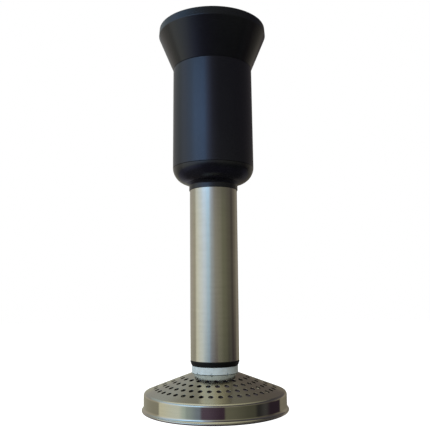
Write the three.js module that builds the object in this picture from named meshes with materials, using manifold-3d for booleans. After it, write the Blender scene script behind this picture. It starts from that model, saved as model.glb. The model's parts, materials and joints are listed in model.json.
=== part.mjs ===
// Puree foot of a commercial stick mixer, in millimetres, +Z up, standing on the rim of its bell.
// The motor block locks into the flared cup at the top. A two-stage planetary gearbox in the black
// housing slows the drive, a long shaft carries it down the steel tube, and a rotor pushes cooked food
// out through the holes of the bell. The bell comes off the tube with a bayonet twist.
import * as THREE from 'three';
import { mergeVertices } from 'three/addons/utils/BufferGeometryUtils.js';
import Module from 'manifold-3d';

const wasm = await Module();
wasm.setup();

// ---- driving dimensions ----
const FIT = 0.2; // gap between pieces that are fixed together
const RUN = 0.08; // gap between a shaft and what it turns in
const PAST = 1; // how far a cutting shape stands out of what it cuts
const SIDES = 32; // sides of a large round piece
const SMALL_SIDES = 20; // sides of a shaft, bearing or seal
const PIN_SIDES = 10; // sides of a pin or screw
const ARC_STEP = 40; // degrees of arc to one curve segment, which is drawn as two sides

const TUBE_R = 21.2; // standard 42.4 mm stainless tube
const TUBE_WALL = 1.5;
const TUBE_BOTTOM = 41.6;
const TUBE_TOP = 213;
const TUBE_BORE_R = TUBE_R - TUBE_WALL;

const BELL = { holeR: 19.2, topZ: 31.2, skirtR: 61.3, shoulderZ: 15.3, sheet: 1.2 };
const BELL_SIDES = 36;
const SHOULDER_ROUND = 2.6;
// the bell's rolled rim: it flares out under the skirt, and stands on a flat 1.2 mm wide
const LIP = { r: 62.9, flareR: 61.8, flareTop: 3.6, flareLow: 2.2, highest: 0.9, lowest: 0.3, edge: 0.4 };
const BELL_ROWS = Array.from({ length: 4 }, (_, i) => (
  { r: 28.8 + 7.4 * i, count: 24 + 6 * i, start: 0.8 * i - 87.7 })); // start: degrees, its first hole
const PUNCH = { r: 2.2, length: 26, rise: 1.5, sides: 5 }; // pointed, so the holes narrow a little inwards

const COLLAR_R = 20; // white hub of the bell
const COLLAR_TOP = 37.1;
const COLLAR_EDGE = 0.6;
const HUB_LOW = 26.6;
const HUB_NOTCH = { count: 9, start: -98, r: 0.75, length: 1.4, rise: 0.9 };
const HUB_RING = { r: 26.4, low: 25, notchDepth: 2, notchHalf: 4 };

const SPIGOT_R = 16.8; // bayonet spigot at the foot of the tube
const BAYONET_ANGLES = [0, 120, 240];
const LUG_SPAN = 24; // degrees
const TWIST = 40; // degrees from locked to free
const LUG = { low: 28, high: 30.5, innerR: 15.3 };
const GROOVE = { low: 27.6, high: 30.9, floorR: 14.9, spare: 1.5 };
const FOOT_BLOCK = { low: 26, high: 66, neckR: 17.6, webBoreR: 6 };
const FOOT_SEAL = { seatR: 11, seatHigh: 33.6, low: 27, high: 33.2 };
const BUSH = { seatR: 7.2, low: 44.2, high: 64 };
const GASKET = { lowR: 20.1, highR: 21.3, bandThick: 1.2 };

const BODY_R_LOW = 36.5; // the housing is drafted, and widest at its foot
const BODY_R_HIGH = 36;
const BODY_LOW = 210.6;
const BODY_HIGH = 303.2;
const BODY_BORE_R = 33.2;
const FLANGE_LOW = BODY_HIGH - 4;
const BOSS = { r: 4, low: 292.8 };
const CORE_R = 33; // what slides into the housing
const NECK_Z = 190.4; // where the end cap meets the bare tube
const NECK_R = 21.85;
const NECK_DROP = 2.4; // height of the small slope between bowl and neck
const BOWL_R = 15;
const BOWL_FROM = 8; // degrees below the level of the bowl's centre
const BOWL_TO = 79;
const BOWL_STEPS = 5;
const BOWL_CENTRE = { r: BODY_R_LOW - BOWL_R, z: BODY_LOW + 0.8 };
const CAP_WALL = 3;
const CAP_HIGH = 231.4;
const CAP_SOCKET_R = 24.6; // outside of the socket that grips the tube
const WEB_THICK = 4;

const CUP_FLOOR = 303.4;
const CUP_CREASE = { r: 49.35, z: 335.2 };
const CUP_TOP = 342.4;
const CUP_TOP_R = 48.8;
const CUP_WALL = 2.8;
const CUP_EDGE = 0.8;
const CUP_FLOOR_THICK = 3;
const CUP_HUB_R = 23.8;
const CUP_HUB_LOW = CUP_FLOOR - 3.2;
const LOCK_RING = { boreR: 22, r: 33.2, thick: 8, lugR: 19.5, lugThick: 4, lugHalf: 20 };
const LOCK_LUG_ANGLES = [30, 150, 270];
const SCREW_CIRCLE_R = 28.2;
const CUP_SCREW = { r: 1.95, low: 294, headR: 3.6, headThick: 3.2, sunk: 0.3 };
const SCREW_GAP = 0.35; // round a screw's shank
const HEAD_GAP = 0.3; // round its head
const LUG_OVERLAP = 0.5; // how far a lug reaches into the ring that carries it
const SEAT_SEAL = { low: 317, high: 320.5, lowThick: 1.4, highThick: 2.1 };
const INPUT_SEAL = { seatR: 11.3, low: CUP_FLOOR - 2.8, high: CUP_FLOOR + 2.6 };

const MODULE = 1.7; // gear teeth, the same in both stages
const PRESSURE = THREE.MathUtils.degToRad(25);
const ADDENDUM = 0.9 * MODULE;
const DEDENDUM = 1.2 * MODULE;
const RING_DEDENDUM = 1.25 * MODULE;
const BACKLASH = 0.3;
const SUN_TEETH = 9;
const PLANET_TEETH = 12;
const RING_TEETH = SUN_TEETH + 2 * PLANET_TEETH;
const PLANET_CIRCLE_R = (MODULE * (SUN_TEETH + PLANET_TEETH)) / 2;
const PLANET_ANGLES = [90, 210, 330];
const STAGES = [ // planets' height, and the carrier plate under them
  { low: 261.4, high: 273.4, plateLow: 256.3, plateHigh: 261 },
  { low: 237, high: 251, plateLow: 230.6, plateHigh: 236.4 },
];
const RING_GEAR_LOW = 231.8;
const CARRIER_R = 24;
const SUN_STUB_R = 4;
const OUTPUT_HUB = { r: 8.5, low: 224.6 };
const PIN_R = 2.5;
const PIN_GAP = 0.15;
const PIN_HEAD = { r: 3.7, rise: 0.4, thick: 1.2 };

const BEARING_PLATE = { low: 282.4, boreR: 9.4, collarR: 15.5, shelf: 0.7 };
const INPUT_BEARING = { bore: 4, outer: 11, width: 7 }; // 608 size
const OUTPUT_BEARING = { bore: 5, outer: 13, width: 8 }; // 6000 size
const INPUT_BEARING_LOWS = [283.2, 292.6];
const OUTPUT_BEARING_LOW = TUBE_TOP + 0.4;
const RACE = { inner: 2.6, gap: 0.4 }; // thickness of a bearing's inner ring, and the gap to the outer one
const CIRCLIP = { clear: 0.1, width: 2.1, thick: 0.9, gap: 20 };
const SEAL_LIP = { low: 1, high: 2, chamfer: 1.4, hollow: 2.2 };

const INPUT = { r: 4, collarR: 6, noseR: 5, high: 320.6, screwBoreR: 2.6, screwBoreLow: 309 };
const SOCKET = { low: 308.2, high: 332, r: 10.5, edge: 1.2, boreR: 2.8 };
const SOCKET_STAR = { points: 6, low: 323.4, outR: 7.6, inR: 5.6 };
const SOCKET_SCREW = { low: 311, headR: 4.2, headThick: 3 };

const FERRULE = { low: 196, high: 223, threadR: 17, webBoreR: 9.6, webThick: 4 };
const TUBE_NUT_R = 23;
const OUTPUT_SEAL = { seatR: 11.2, low: 201, high: 207 };

const OUTPUT_R = 5;
const STUB = { r: 4, low: 5.4, high: 24, chamfer: 0.6 }; // the shaft's lower end, inside the rotor
const ROTOR = { hubR: 10, hubLow: 13, hubEdge: 1.5, tipR: 57.4, bladeLow: 5, clear: 1.3 };
const BLADE = { half: 15, thick: 2.4, lean: 38, root: 0.7, rampFrom: 27.6, rampTo: 28.4 };
const DRIVE_PIN = { r: 1.6, z: 22.4, half: 8.6 };
const DRIVE_SLOT = { height: 4, z: 22.6 };
const ROTOR_NUT = { r: 7.5, low: 6.2, high: 11 };
const ROTOR_WASHER = { r: 8.5, low: 11.2 };

// ---- helpers ----
const rad = THREE.MathUtils.degToRad;

/** Vertex radius of a faceted bore whose flats stay `gap` clear of radius r. */
const boreFor = (r, gap = RUN, sides = SMALL_SIDES) => (r + gap) / Math.cos(Math.PI / sides);

/** A profile's points from [radius, height, optional corner radius], with those corners made round. */
function outline(corners, steps) {
  const points = [];
  corners.forEach(([x, y, round], i) => {
    if (!round) {
      points.push(new THREE.Vector2(x, y));
      return;
    }
    const corner = new THREE.Vector2(x, y);
    const [px, py] = corners[(i + corners.length - 1) % corners.length];
    const [nx, ny] = corners[(i + 1) % corners.length];
    const back = new THREE.Vector2(px - x, py - y).normalize();
    const on = new THREE.Vector2(nx - x, ny - y).normalize();
    const half = back.angleTo(on) / 2;
    const reach = round / Math.tan(half);
    const centre = corner.clone().addScaledVector(back.clone().add(on).normalize(), round / Math.sin(half));
    const from = corner.clone().addScaledVector(back, reach).sub(centre).angle();
    const to = corner.clone().addScaledVector(on, reach).sub(centre).angle();
    const turn = THREE.MathUtils.euclideanModulo(to - from + Math.PI, 2 * Math.PI) - Math.PI;
    for (let k = 0; k <= steps; k++) {
      const a = from + (turn * k) / steps;
      points.push(new THREE.Vector2(centre.x + round * Math.cos(a), centre.y + round * Math.sin(a)));
    }
  });
  return points;
}

/** A body of revolution about Z. The corners run round the section, which is closed here. */
function lathe(corners, sides = SIDES, steps = 1) {
  let points = outline(corners, steps);
  if (THREE.ShapeUtils.area(points) > 0) points = points.reverse();
  const onAxis = points.filter((p) => p.x === 0);
  if (onAxis.length === 0) points.push(points[0].clone());
  else while (points[0].x !== 0 || points.at(-1).x !== 0) points.push(points.shift());
  return new THREE.LatheGeometry(points.reverse(), sides).rotateX(Math.PI / 2);
}

/** A flat shape pulled up from low to high. */
function prism(shape, low, high, curveSegments = 8) {
  const depth = high - low;
  const geometry = new THREE.ExtrudeGeometry(shape, { depth, bevelEnabled: false, curveSegments });
  return geometry.translate(0, 0, low);
}

/** An upright cylinder at (x, y). */
function post(r, low, high, x = 0, y = 0, sides = PIN_SIDES) {
  const geometry = new THREE.CylinderGeometry(r, r, high - low, sides).rotateX(Math.PI / 2);
  return geometry.translate(x, y, (low + high) / 2);
}

/** A block that covers part of a turn between two radii. */
function sector(inner, outer, from, to, low, high) {
  const steps = Math.ceil((to - from) / ARC_STEP);
  const shape = new THREE.Shape();
  shape.absarc(0, 0, outer, rad(from), rad(to), false);
  shape.absarc(0, 0, inner, rad(to), rad(from), true);
  return prism(shape, low, high, steps);
}

function solid(geometry) {
  const bare = geometry.clone();
  bare.deleteAttribute('normal');
  bare.deleteAttribute('uv');
  const merged = mergeVertices(bare, 1e-4);
  return new wasm.Manifold(new wasm.Mesh({
    numProp: 3,
    vertProperties: merged.attributes.position.array,
    triVerts: new Uint32Array(merged.index.array),
  }));
}

const joined = (geometries) => geometries.map(solid).reduce((a, b) => a.add(b));

/** One geometry from a base, with others joined on and then others cut away. */
function combine(base, { join = [], cut = [] }) {
  const whole = joined([base, ...join]);
  return geometryOf(cut.length > 0 ? whole.subtract(joined(cut)) : whole);
}

function geometryOf(made) {
  const mesh = made.getMesh();
  return new THREE.BufferGeometry()
    .setAttribute('position', new THREE.BufferAttribute(Float32Array.from(mesh.vertProperties), 3))
    .setIndex(new THREE.BufferAttribute(Uint32Array.from(mesh.triVerts), 1))
    .toNonIndexed();
}

/** [x, y] of each of `count` places round a circle. */
function around(count, r, start = 0) {
  return Array.from({ length: count }, (_, i) => {
    const a = rad(start) + (2 * Math.PI * i) / count;
    return [r * Math.cos(a), r * Math.sin(a)];
  });
}

// ---- materials ----
function material(color, roughness, metalness) {
  return new THREE.MeshStandardMaterial({ color, roughness, metalness });
}

const BLACK_NYLON = material(0x17181b, 0.42, 0);
const STAINLESS = material(0xa8a69a, 0.3, 1);
const WHITE_ACETAL = material(0xc9d2d2, 0.45, 0);
const BLACK_RUBBER = material(0x121214, 0.7, 0);
const STEEL = material(0x8b8d90, 0.35, 1);
const ALUMINIUM = material(0xb6b8ba, 0.4, 1);
const BRONZE = material(0xa9773f, 0.4, 1);
const GEAR_NYLON = material(0xd8cfb4, 0.55, 0);

const foot = new THREE.Group();

function add(name, geometry, finish) {
  const mesh = new THREE.Mesh(geometry, finish);
  mesh.name = name;
  foot.add(mesh);
  return mesh;
}

// ---- coupling cup ----
const cupSlope = (CUP_CREASE.r - BODY_R_HIGH) / (CUP_CREASE.z - CUP_FLOOR);
const CUP_FLOOR_TOP = CUP_FLOOR + CUP_FLOOR_THICK;
const RING_LOW = CUP_FLOOR_TOP + FIT;
const RING_HIGH = RING_LOW + LOCK_RING.thick;
const HEAD_LOW = RING_HIGH - CUP_SCREW.sunk - CUP_SCREW.headThick;
const screwPlaces = around(4, SCREW_CIRCLE_R, 45);

/** Clearance holes for the four cup screws. */
const screwHoles = (low, high) => (
  screwPlaces.map(([x, y]) => post(CUP_SCREW.r + SCREW_GAP, low - PAST, high + PAST, x, y)));

/** Radius of the cup's inner cone at height z. */
const cupBore = (z) => BODY_R_HIGH - CUP_WALL + (z - CUP_FLOOR) * cupSlope;

function couplingCup() {
  const shell = lathe([
    [INPUT_SEAL.seatR, CUP_HUB_LOW], [CUP_HUB_R, CUP_HUB_LOW], [CUP_HUB_R, CUP_FLOOR],
    [BODY_R_HIGH, CUP_FLOOR], [CUP_CREASE.r, CUP_CREASE.z], [CUP_TOP_R, CUP_TOP, CUP_EDGE],
    [CUP_TOP_R - CUP_WALL, CUP_TOP, CUP_EDGE], [cupBore(CUP_CREASE.z), CUP_CREASE.z],
    [cupBore(CUP_FLOOR_TOP), CUP_FLOOR_TOP], [INPUT_SEAL.seatR, CUP_FLOOR_TOP],
  ]);
  return combine(shell, { cut: screwHoles(CUP_FLOOR, CUP_FLOOR_TOP) });
}

/** Bayonet ring that grips the motor block: three lugs stand in from its upper half. */
function couplingRing() {
  const { boreR, r, lugR, lugThick, lugHalf } = LOCK_RING;
  const ring = lathe([[boreR, RING_LOW], [r, RING_LOW], [r, RING_HIGH], [boreR, RING_HIGH]]);
  const lugs = LOCK_LUG_ANGLES.map((a) => (
    sector(lugR, boreR + LUG_OVERLAP, a - lugHalf, a + lugHalf, RING_HIGH - lugThick, RING_HIGH)));
  const counterbores = screwPlaces.map(([x, y]) => (
    post(CUP_SCREW.headR + HEAD_GAP, HEAD_LOW - HEAD_GAP / 3, RING_HIGH + PAST, x, y)));
  return combine(ring, { join: lugs, cut: [...screwHoles(RING_LOW, HEAD_LOW), ...counterbores] });
}

function cupScrew() {
  const { r, low, headR, headThick } = CUP_SCREW;
  const top = HEAD_LOW + headThick;
  return lathe([[0, low], [r, low], [r, HEAD_LOW], [headR, HEAD_LOW], [headR, top], [0, top]], PIN_SIDES);
}

function motorSeatSeal() {
  const { low, high, lowThick, highThick } = SEAT_SEAL;
  return lathe([
    [cupBore(low) - FIT, low], [cupBore(high) - FIT, high],
    [cupBore(high) - FIT - highThick, high], [cupBore(low) - FIT - lowThick, low],
  ]);
}

/** Ring-shaped lip seal between a seat and a shaft. */
function lipSeal({ seatR, low, high }, shaftR) {
  const bore = boreFor(shaftR);
  const out = seatR - FIT;
  return lathe([
    [bore, low + SEAL_LIP.low], [bore + SEAL_LIP.chamfer, low], [out, low],
    [out, high], [bore + SEAL_LIP.hollow, high], [bore, low + SEAL_LIP.high],
  ], SMALL_SIDES);
}

add('coupling_cup', couplingCup(), BLACK_NYLON);
add('coupling_ring', couplingRing(), ALUMINIUM);
screwPlaces.forEach(([x, y], i) => add(`cup_screw_${i + 1}`, cupScrew(), STEEL).position.set(x, y, 0));
add('motor_seat_seal', motorSeatSeal(), BLACK_RUBBER);
add('input_seal', lipSeal(INPUT_SEAL, INPUT.collarR), BLACK_RUBBER);

// ---- gear housing ----
function gearHousing() {
  const shell = lathe([
    [BODY_BORE_R, BODY_LOW], [BODY_R_LOW, BODY_LOW], [BODY_R_HIGH, BODY_HIGH], [CUP_HUB_R + FIT, BODY_HIGH],
    [CUP_HUB_R + FIT, FLANGE_LOW], [BODY_BORE_R, FLANGE_LOW],
  ]);
  const bosses = screwPlaces.map(([x, y]) => post(BOSS.r, BOSS.low, BODY_HIGH - 1, x, y));
  return combine(shell, { join: bosses, cut: screwHoles(BOSS.low, BODY_HIGH) });
}

function upperBearingPlate() {
  const { low, boreR, collarR, shelf } = BEARING_PLATE;
  const seat = INPUT_BEARING.outer + FIT;
  const plateHigh = BOSS.low - FIT;
  const collarHigh = CUP_HUB_LOW - 2 * FIT;
  return lathe([
    [boreR, low], [CORE_R, low], [CORE_R, plateHigh], [collarR, plateHigh],
    [collarR, collarHigh], [seat, collarHigh], [seat, low + shelf], [boreR, low + shelf],
  ]);
}

/** Outer ring of a sealed ball bearing, with its balls and shields as one ring. */
function bearingOuter({ outer, width, bore }, low) {
  const innerR = bore + RACE.inner + RACE.gap;
  return lathe([[innerR, low], [outer, low], [outer, low + width], [innerR, low + width]], SMALL_SIDES);
}

function bearingInner({ bore, width }, low) {
  const outerR = bore + RACE.inner;
  const innerR = boreFor(bore);
  return lathe([[innerR, low], [outerR, low], [outerR, low + width], [innerR, low + width]], SMALL_SIDES);
}

/** Open spring ring that keeps a bearing from sliding along its shaft. */
function circlip(shaftR, low) {
  const { clear, width, thick, gap } = CIRCLIP;
  return sector(shaftR + clear, shaftR + clear + width, gap, 360 - gap, low, low + thick);
}

add('gear_housing', gearHousing(), BLACK_NYLON);
add('upper_bearing_plate', upperBearingPlate(), ALUMINIUM);
['lower', 'upper'].forEach((place, i) => {
  add(`input_bearing_${place}_outer`, bearingOuter(INPUT_BEARING, INPUT_BEARING_LOWS[i]), STEEL);
  add(`input_bearing_${place}_inner`, bearingInner(INPUT_BEARING, INPUT_BEARING_LOWS[i]), STEEL);
});

// ---- gears ----
const pitchRadius = (teeth) => (MODULE * teeth) / 2;
const involute = (a) => Math.tan(a) - a;

/** Half the angle that a tooth covers at radius r, thinned on both flanks by `thin` at the pitch circle. */
function halfTooth(teeth, r, thin) {
  const pitch = pitchRadius(teeth);
  const base = pitch * Math.cos(PRESSURE);
  const slope = Math.acos(Math.min(1, base / r));
  return Math.PI / (2 * teeth) + involute(PRESSURE) - involute(slope) - thin / pitch;
}

/** Points of a toothed outline, anticlockwise, with a tooth centred at `phase`. */
function toothed(teeth, rootR, tipR, thin, phase) {
  const radii = [rootR, pitchRadius(teeth), tipR];
  const flank = radii.map((r) => ({ r, half: halfTooth(teeth, r, thin) }));
  const points = [];
  for (let i = 0; i < teeth; i++) {
    const middle = phase + (2 * Math.PI * i) / teeth;
    const at = (r, a) => points.push(new THREE.Vector2(r * Math.cos(a), r * Math.sin(a)));
    flank.forEach(({ r, half }) => at(r, middle - half));
    flank.toReversed().forEach(({ r, half }) => at(r, middle + half));
  }
  return points;
}

function circlePath(r, sides) {
  return new THREE.Path(around(sides, r).map(([x, y]) => new THREE.Vector2(x, y)));
}

function spurGear(teeth, phase, low, high, boreR) {
  const pitch = pitchRadius(teeth);
  const shape = new THREE.Shape(toothed(teeth, pitch - DEDENDUM, pitch + ADDENDUM, BACKLASH / 4, phase));
  if (boreR) shape.holes.push(circlePath(boreR, PIN_SIDES));
  return prism(shape, low, high);
}

/** Phase of a planet at angle `place` that meshes with a sun whose first tooth is at angle 0. */
function planetPhase(place) {
  const halfPitch = (Math.PI * MODULE) / 2;
  const sunOffset = -pitchRadius(SUN_TEETH) * place;
  return place + Math.PI + (halfPitch - sunOffset) / pitchRadius(PLANET_TEETH);
}

/** Phase of the ring's tooth spaces that meshes with that planet. */
function ringPhase(place) {
  return place + (pitchRadius(PLANET_TEETH) * (planetPhase(place) - place)) / pitchRadius(RING_TEETH);
}

function ringGear() {
  const pitch = pitchRadius(RING_TEETH);
  const tip = pitch - ADDENDUM;
  const root = pitch + RING_DEDENDUM;
  const spaces = toothed(RING_TEETH, tip, root, -BACKLASH / 4, ringPhase(rad(PLANET_ANGLES[0])));
  const shape = new THREE.Shape(around(SIDES, CORE_R).map(([x, y]) => new THREE.Vector2(x, y)));
  shape.holes.push(new THREE.Path(spaces));
  return prism(shape, RING_GEAR_LOW, BEARING_PLATE.low - 2 * FIT);
}

function carrier({ plateLow, plateHigh }, hub, boreR) {
  const plate = lathe([
    [boreR, plateLow], [CARRIER_R, plateLow], [CARRIER_R, plateHigh], [boreR, plateHigh],
  ], SMALL_SIDES);
  const holes = around(PLANET_ANGLES.length, PLANET_CIRCLE_R, PLANET_ANGLES[0])
    .map(([x, y]) => post(PIN_R + PIN_GAP, plateLow - PAST, plateHigh + PAST, x, y));
  return combine(plate, { join: hub, cut: holes });
}

function planetPin({ high, plateLow }) {
  const { r, rise, thick } = PIN_HEAD;
  return lathe([
    [0, plateLow], [PIN_R, plateLow], [PIN_R, high + rise], [r, high + rise], [r, high + rise + thick],
    [0, high + rise + thick],
  ], PIN_SIDES);
}

/** Sun of the second stage, with the stub that is pressed into the first carrier. */
function secondSun() {
  const gear = spurGear(SUN_TEETH, 0, STAGES[1].low, STAGES[0].plateLow - FIT);
  const stub = post(SUN_STUB_R, STAGES[0].plateLow - 1, STAGES[0].plateHigh - FIT, 0, 0, SMALL_SIDES);
  return combine(gear, { join: [stub] });
}

/** Second carrier, with the hub that is fixed on the output shaft. */
function outputCarrier() {
  const bore = boreFor(OUTPUT_R, FIT);
  const { r, low } = OUTPUT_HUB;
  const high = STAGES[1].plateLow + 1;
  const hub = lathe([[bore, low], [r, low], [r, high], [bore, high]], SMALL_SIDES);
  return carrier(STAGES[1], [hub], bore);
}

const pinnedBore = boreFor(INPUT.r, RUN, PIN_SIDES);
add('ring_gear', ringGear(), GEAR_NYLON);
add('sun_gear_1', spurGear(SUN_TEETH, 0, STAGES[0].low, STAGES[0].high, pinnedBore), STEEL);
add('sun_gear_2', secondSun(), STEEL);
add('carrier_1', carrier(STAGES[0], [], boreFor(SUN_STUB_R, FIT)), STEEL);
add('carrier_2', outputCarrier(), STEEL);

STAGES.forEach((stage, s) => {
  PLANET_ANGLES.forEach((angle, i) => {
    const place = rad(angle);
    const x = PLANET_CIRCLE_R * Math.cos(place);
    const y = PLANET_CIRCLE_R * Math.sin(place);
    const bore = boreFor(PIN_R, RUN, PIN_SIDES);
    const planet = spurGear(PLANET_TEETH, planetPhase(place), stage.low, stage.high, bore);
    add(`planet_gear_${s + 1}_${i + 1}`, planet, GEAR_NYLON).position.set(x, y, 0);
    add(`planet_pin_${s + 1}_${i + 1}`, planetPin(stage), STEEL).position.set(x, y, 0);
  });
});

// ---- drive into the gearbox ----
function inputShaft() {
  const { r, collarR, noseR, high, screwBoreR, screwBoreLow } = INPUT;
  const low = STAGES[0].low + FIT;
  const collarLow = CUP_HUB_LOW - FIT;
  const noseLow = SOCKET.low - FIT;
  return lathe([
    [0, low], [r, low], [r, collarLow], [collarR, collarLow], [collarR, noseLow], [noseR, noseLow],
    [noseR, high], [screwBoreR, high], [screwBoreR, screwBoreLow], [0, screwBoreLow],
  ], SMALL_SIDES);
}

/** Driven half of the coupling, with a six-pointed socket for the motor's driver. */
function driveSocket() {
  const { low, high, r, edge, boreR } = SOCKET;
  const bore = boreFor(INPUT.noseR, FIT);
  const roof = INPUT.high + FIT;
  const block = lathe([
    [bore, low], [r, low], [r, high, edge], [boreR, high], [boreR, roof], [bore, roof],
  ], SMALL_SIDES);
  const star = around(2 * SOCKET_STAR.points, 1).map(([x, y], i) => (
    new THREE.Vector2(x, y).multiplyScalar(i % 2 ? SOCKET_STAR.inR : SOCKET_STAR.outR)));
  return combine(block, { cut: [prism(new THREE.Shape(star), SOCKET_STAR.low, high + PAST)] });
}

function socketScrew() {
  const { low, headR, headThick } = SOCKET_SCREW;
  const r = INPUT.screwBoreR - FIT;
  const headLow = SOCKET_STAR.low + FIT;
  const top = headLow + headThick;
  return lathe([[0, low], [r, low], [r, headLow], [headR, headLow], [headR, top], [0, top]], PIN_SIDES);
}

add('input_shaft', inputShaft(), STEEL);
add('input_circlip', circlip(INPUT.r, INPUT_BEARING_LOWS[0] - CIRCLIP.thick - FIT), STEEL);
add('drive_socket', driveSocket(), STEEL);
add('socket_screw', socketScrew(), STEEL);

// ---- end cap and tube ----
const WEB_LOW = TUBE_TOP + 2 * FIT;
const WEB_HIGH = WEB_LOW + WEB_THICK;

/** Bowl-shaped cap under the housing. It is hollow round the socket that grips the tube. */
function endCap() {
  const spigotBore = CORE_R - CAP_WALL;
  const webBore = FERRULE.threadR + FIT;
  const innerR = BOWL_R - CAP_WALL;
  const bowl = Array.from({ length: BOWL_STEPS + 1 }, (_, i) => {
    const a = -rad(THREE.MathUtils.lerp(BOWL_FROM, BOWL_TO, i / BOWL_STEPS));
    return [BOWL_CENTRE.r + BOWL_R * Math.cos(a), BOWL_CENTRE.z + BOWL_R * Math.sin(a)];
  });
  const innerLow = (r) => BOWL_CENTRE.z - Math.sqrt(innerR ** 2 - (r - BOWL_CENTRE.r) ** 2);
  return lathe([
    [CORE_R, CAP_HIGH], [CORE_R, BODY_LOW - FIT], [BODY_R_LOW, BODY_LOW - FIT],
    ...bowl, [NECK_R, bowl.at(-1)[1] - NECK_DROP], [NECK_R, NECK_Z],
    [TUBE_R + FIT, NECK_Z], [TUBE_R + FIT, WEB_LOW], [webBore, WEB_LOW],
    [webBore, WEB_HIGH], [CAP_SOCKET_R, WEB_HIGH], [CAP_SOCKET_R, innerLow(CAP_SOCKET_R)],
    [spigotBore, innerLow(spigotBore)], [spigotBore, CAP_HIGH],
  ]);
}

/** Turned sleeve in the top of the tube, with a threaded end that goes through the cap. */
function tubeFerrule() {
  const { low, high, threadR, webBoreR, webThick } = FERRULE;
  const seat = OUTPUT_BEARING.outer + FIT;
  const shoulder = OUTPUT_BEARING_LOW - FIT;
  const webLow = shoulder - webThick;
  const body = TUBE_BORE_R - FIT;
  return lathe([
    [OUTPUT_SEAL.seatR, low], [body, low], [body, TUBE_TOP],
    [threadR, TUBE_TOP], [threadR, high], [seat, high],
    [seat, shoulder], [webBoreR, shoulder], [webBoreR, webLow], [OUTPUT_SEAL.seatR, webLow],
  ]);
}

/** Hexagonal nut that clamps the end cap to the ferrule. */
function tubeNut() {
  const shape = new THREE.Shape(around(6, TUBE_NUT_R).map(([x, y]) => new THREE.Vector2(x, y)));
  shape.holes.push(circlePath(FERRULE.threadR + FIT, SIDES));
  return prism(shape, WEB_HIGH + FIT, FERRULE.high - 2 * FIT);
}

function driveTube() {
  return lathe([
    [TUBE_BORE_R, TUBE_BOTTOM], [TUBE_R, TUBE_BOTTOM], [TUBE_R, TUBE_TOP], [TUBE_BORE_R, TUBE_TOP],
  ]);
}

add('end_cap', endCap(), BLACK_NYLON);
add('tube_ferrule', tubeFerrule(), STEEL);
add('tube_nut', tubeNut(), STEEL);
add('output_bearing_outer', bearingOuter(OUTPUT_BEARING, OUTPUT_BEARING_LOW), STEEL);
add('output_bearing_inner', bearingInner(OUTPUT_BEARING, OUTPUT_BEARING_LOW), STEEL);
add('output_circlip', circlip(OUTPUT_R, OUTPUT_BEARING_LOW + OUTPUT_BEARING.width + FIT), STEEL);
add('output_seal', lipSeal(OUTPUT_SEAL, OUTPUT_R), BLACK_RUBBER);
add('drive_tube', driveTube(), STAINLESS);

// ---- foot of the tube ----
const GASKET_LOW = COLLAR_TOP + FIT;
const GASKET_HIGH = TUBE_BOTTOM - FIT;

/** White block in the tube's foot. It carries the bush, the seal and the bayonet's L-shaped slots. */
function footBearingBlock() {
  const { low, high, neckR, webBoreR } = FOOT_BLOCK;
  const plugR = TUBE_BORE_R - FIT;
  const bushLow = BUSH.low - FIT;
  const block = lathe([
    [FOOT_SEAL.seatR, low], [SPIGOT_R, low], [SPIGOT_R, GASKET_LOW], [neckR, GASKET_LOW],
    [neckR, TUBE_BOTTOM], [plugR, TUBE_BOTTOM], [plugR, high], [BUSH.seatR, high], [BUSH.seatR, bushLow],
    [webBoreR, bushLow], [webBoreR, FOOT_SEAL.seatHigh], [FOOT_SEAL.seatR, FOOT_SEAL.seatHigh],
  ]);
  const slots = BAYONET_ANGLES.flatMap((locked) => {
    const free = locked + TWIST;
    const half = LUG_SPAN / 2 + GROOVE.spare;
    return [
      sector(GROOVE.floorR, SPIGOT_R + PAST, locked - half, free + half, GROOVE.low, GROOVE.high),
      sector(GROOVE.floorR, SPIGOT_R + PAST, free - half, free + half, low - PAST, GROOVE.high),
    ];
  });
  return combine(block, { cut: slots });
}

function footBush() {
  const bore = boreFor(OUTPUT_R);
  const out = BUSH.seatR - FIT;
  return lathe([[bore, BUSH.low], [out, BUSH.low], [out, BUSH.high], [bore, BUSH.high]], SMALL_SIDES);
}

/** Tapered rubber ring between the tube's end and the bell's white hub. */
function tubeGasket() {
  const bore = FOOT_BLOCK.neckR + FIT;
  const { lowR, highR, bandThick } = GASKET;
  return lathe([
    [bore, GASKET_LOW], [lowR, GASKET_LOW], [highR, TUBE_BOTTOM - bandThick], [highR, GASKET_HIGH],
    [bore, GASKET_HIGH],
  ]);
}

add('foot_bearing_block', footBearingBlock(), WHITE_ACETAL);
add('foot_bush', footBush(), BRONZE);
add('foot_seal', lipSeal(FOOT_SEAL, OUTPUT_R), BLACK_RUBBER);
add('tube_gasket', tubeGasket(), BLACK_RUBBER);

// ---- bell ----
const bellSlope = (BELL.shoulderZ - BELL.topZ) / (BELL.skirtR - BELL.holeR);
const bellTop = (r) => BELL.topZ + (r - BELL.holeR) * bellSlope;
const sheetDrop = BELL.sheet * Math.hypot(1, bellSlope); // sheet thickness measured straight down

/** A punch through the cone at radius r, then turned to its place round the axis. */
function punch(r, place) {
  const cone = new THREE.ConeGeometry(PUNCH.r, PUNCH.length, PUNCH.sides).rotateX(-Math.PI / 2);
  cone.translate(0, 0, PUNCH.rise - PUNCH.length / 2).rotateY(Math.atan(-bellSlope));
  return cone.translate(r, 0, bellTop(r)).rotateZ(place);
}

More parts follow.
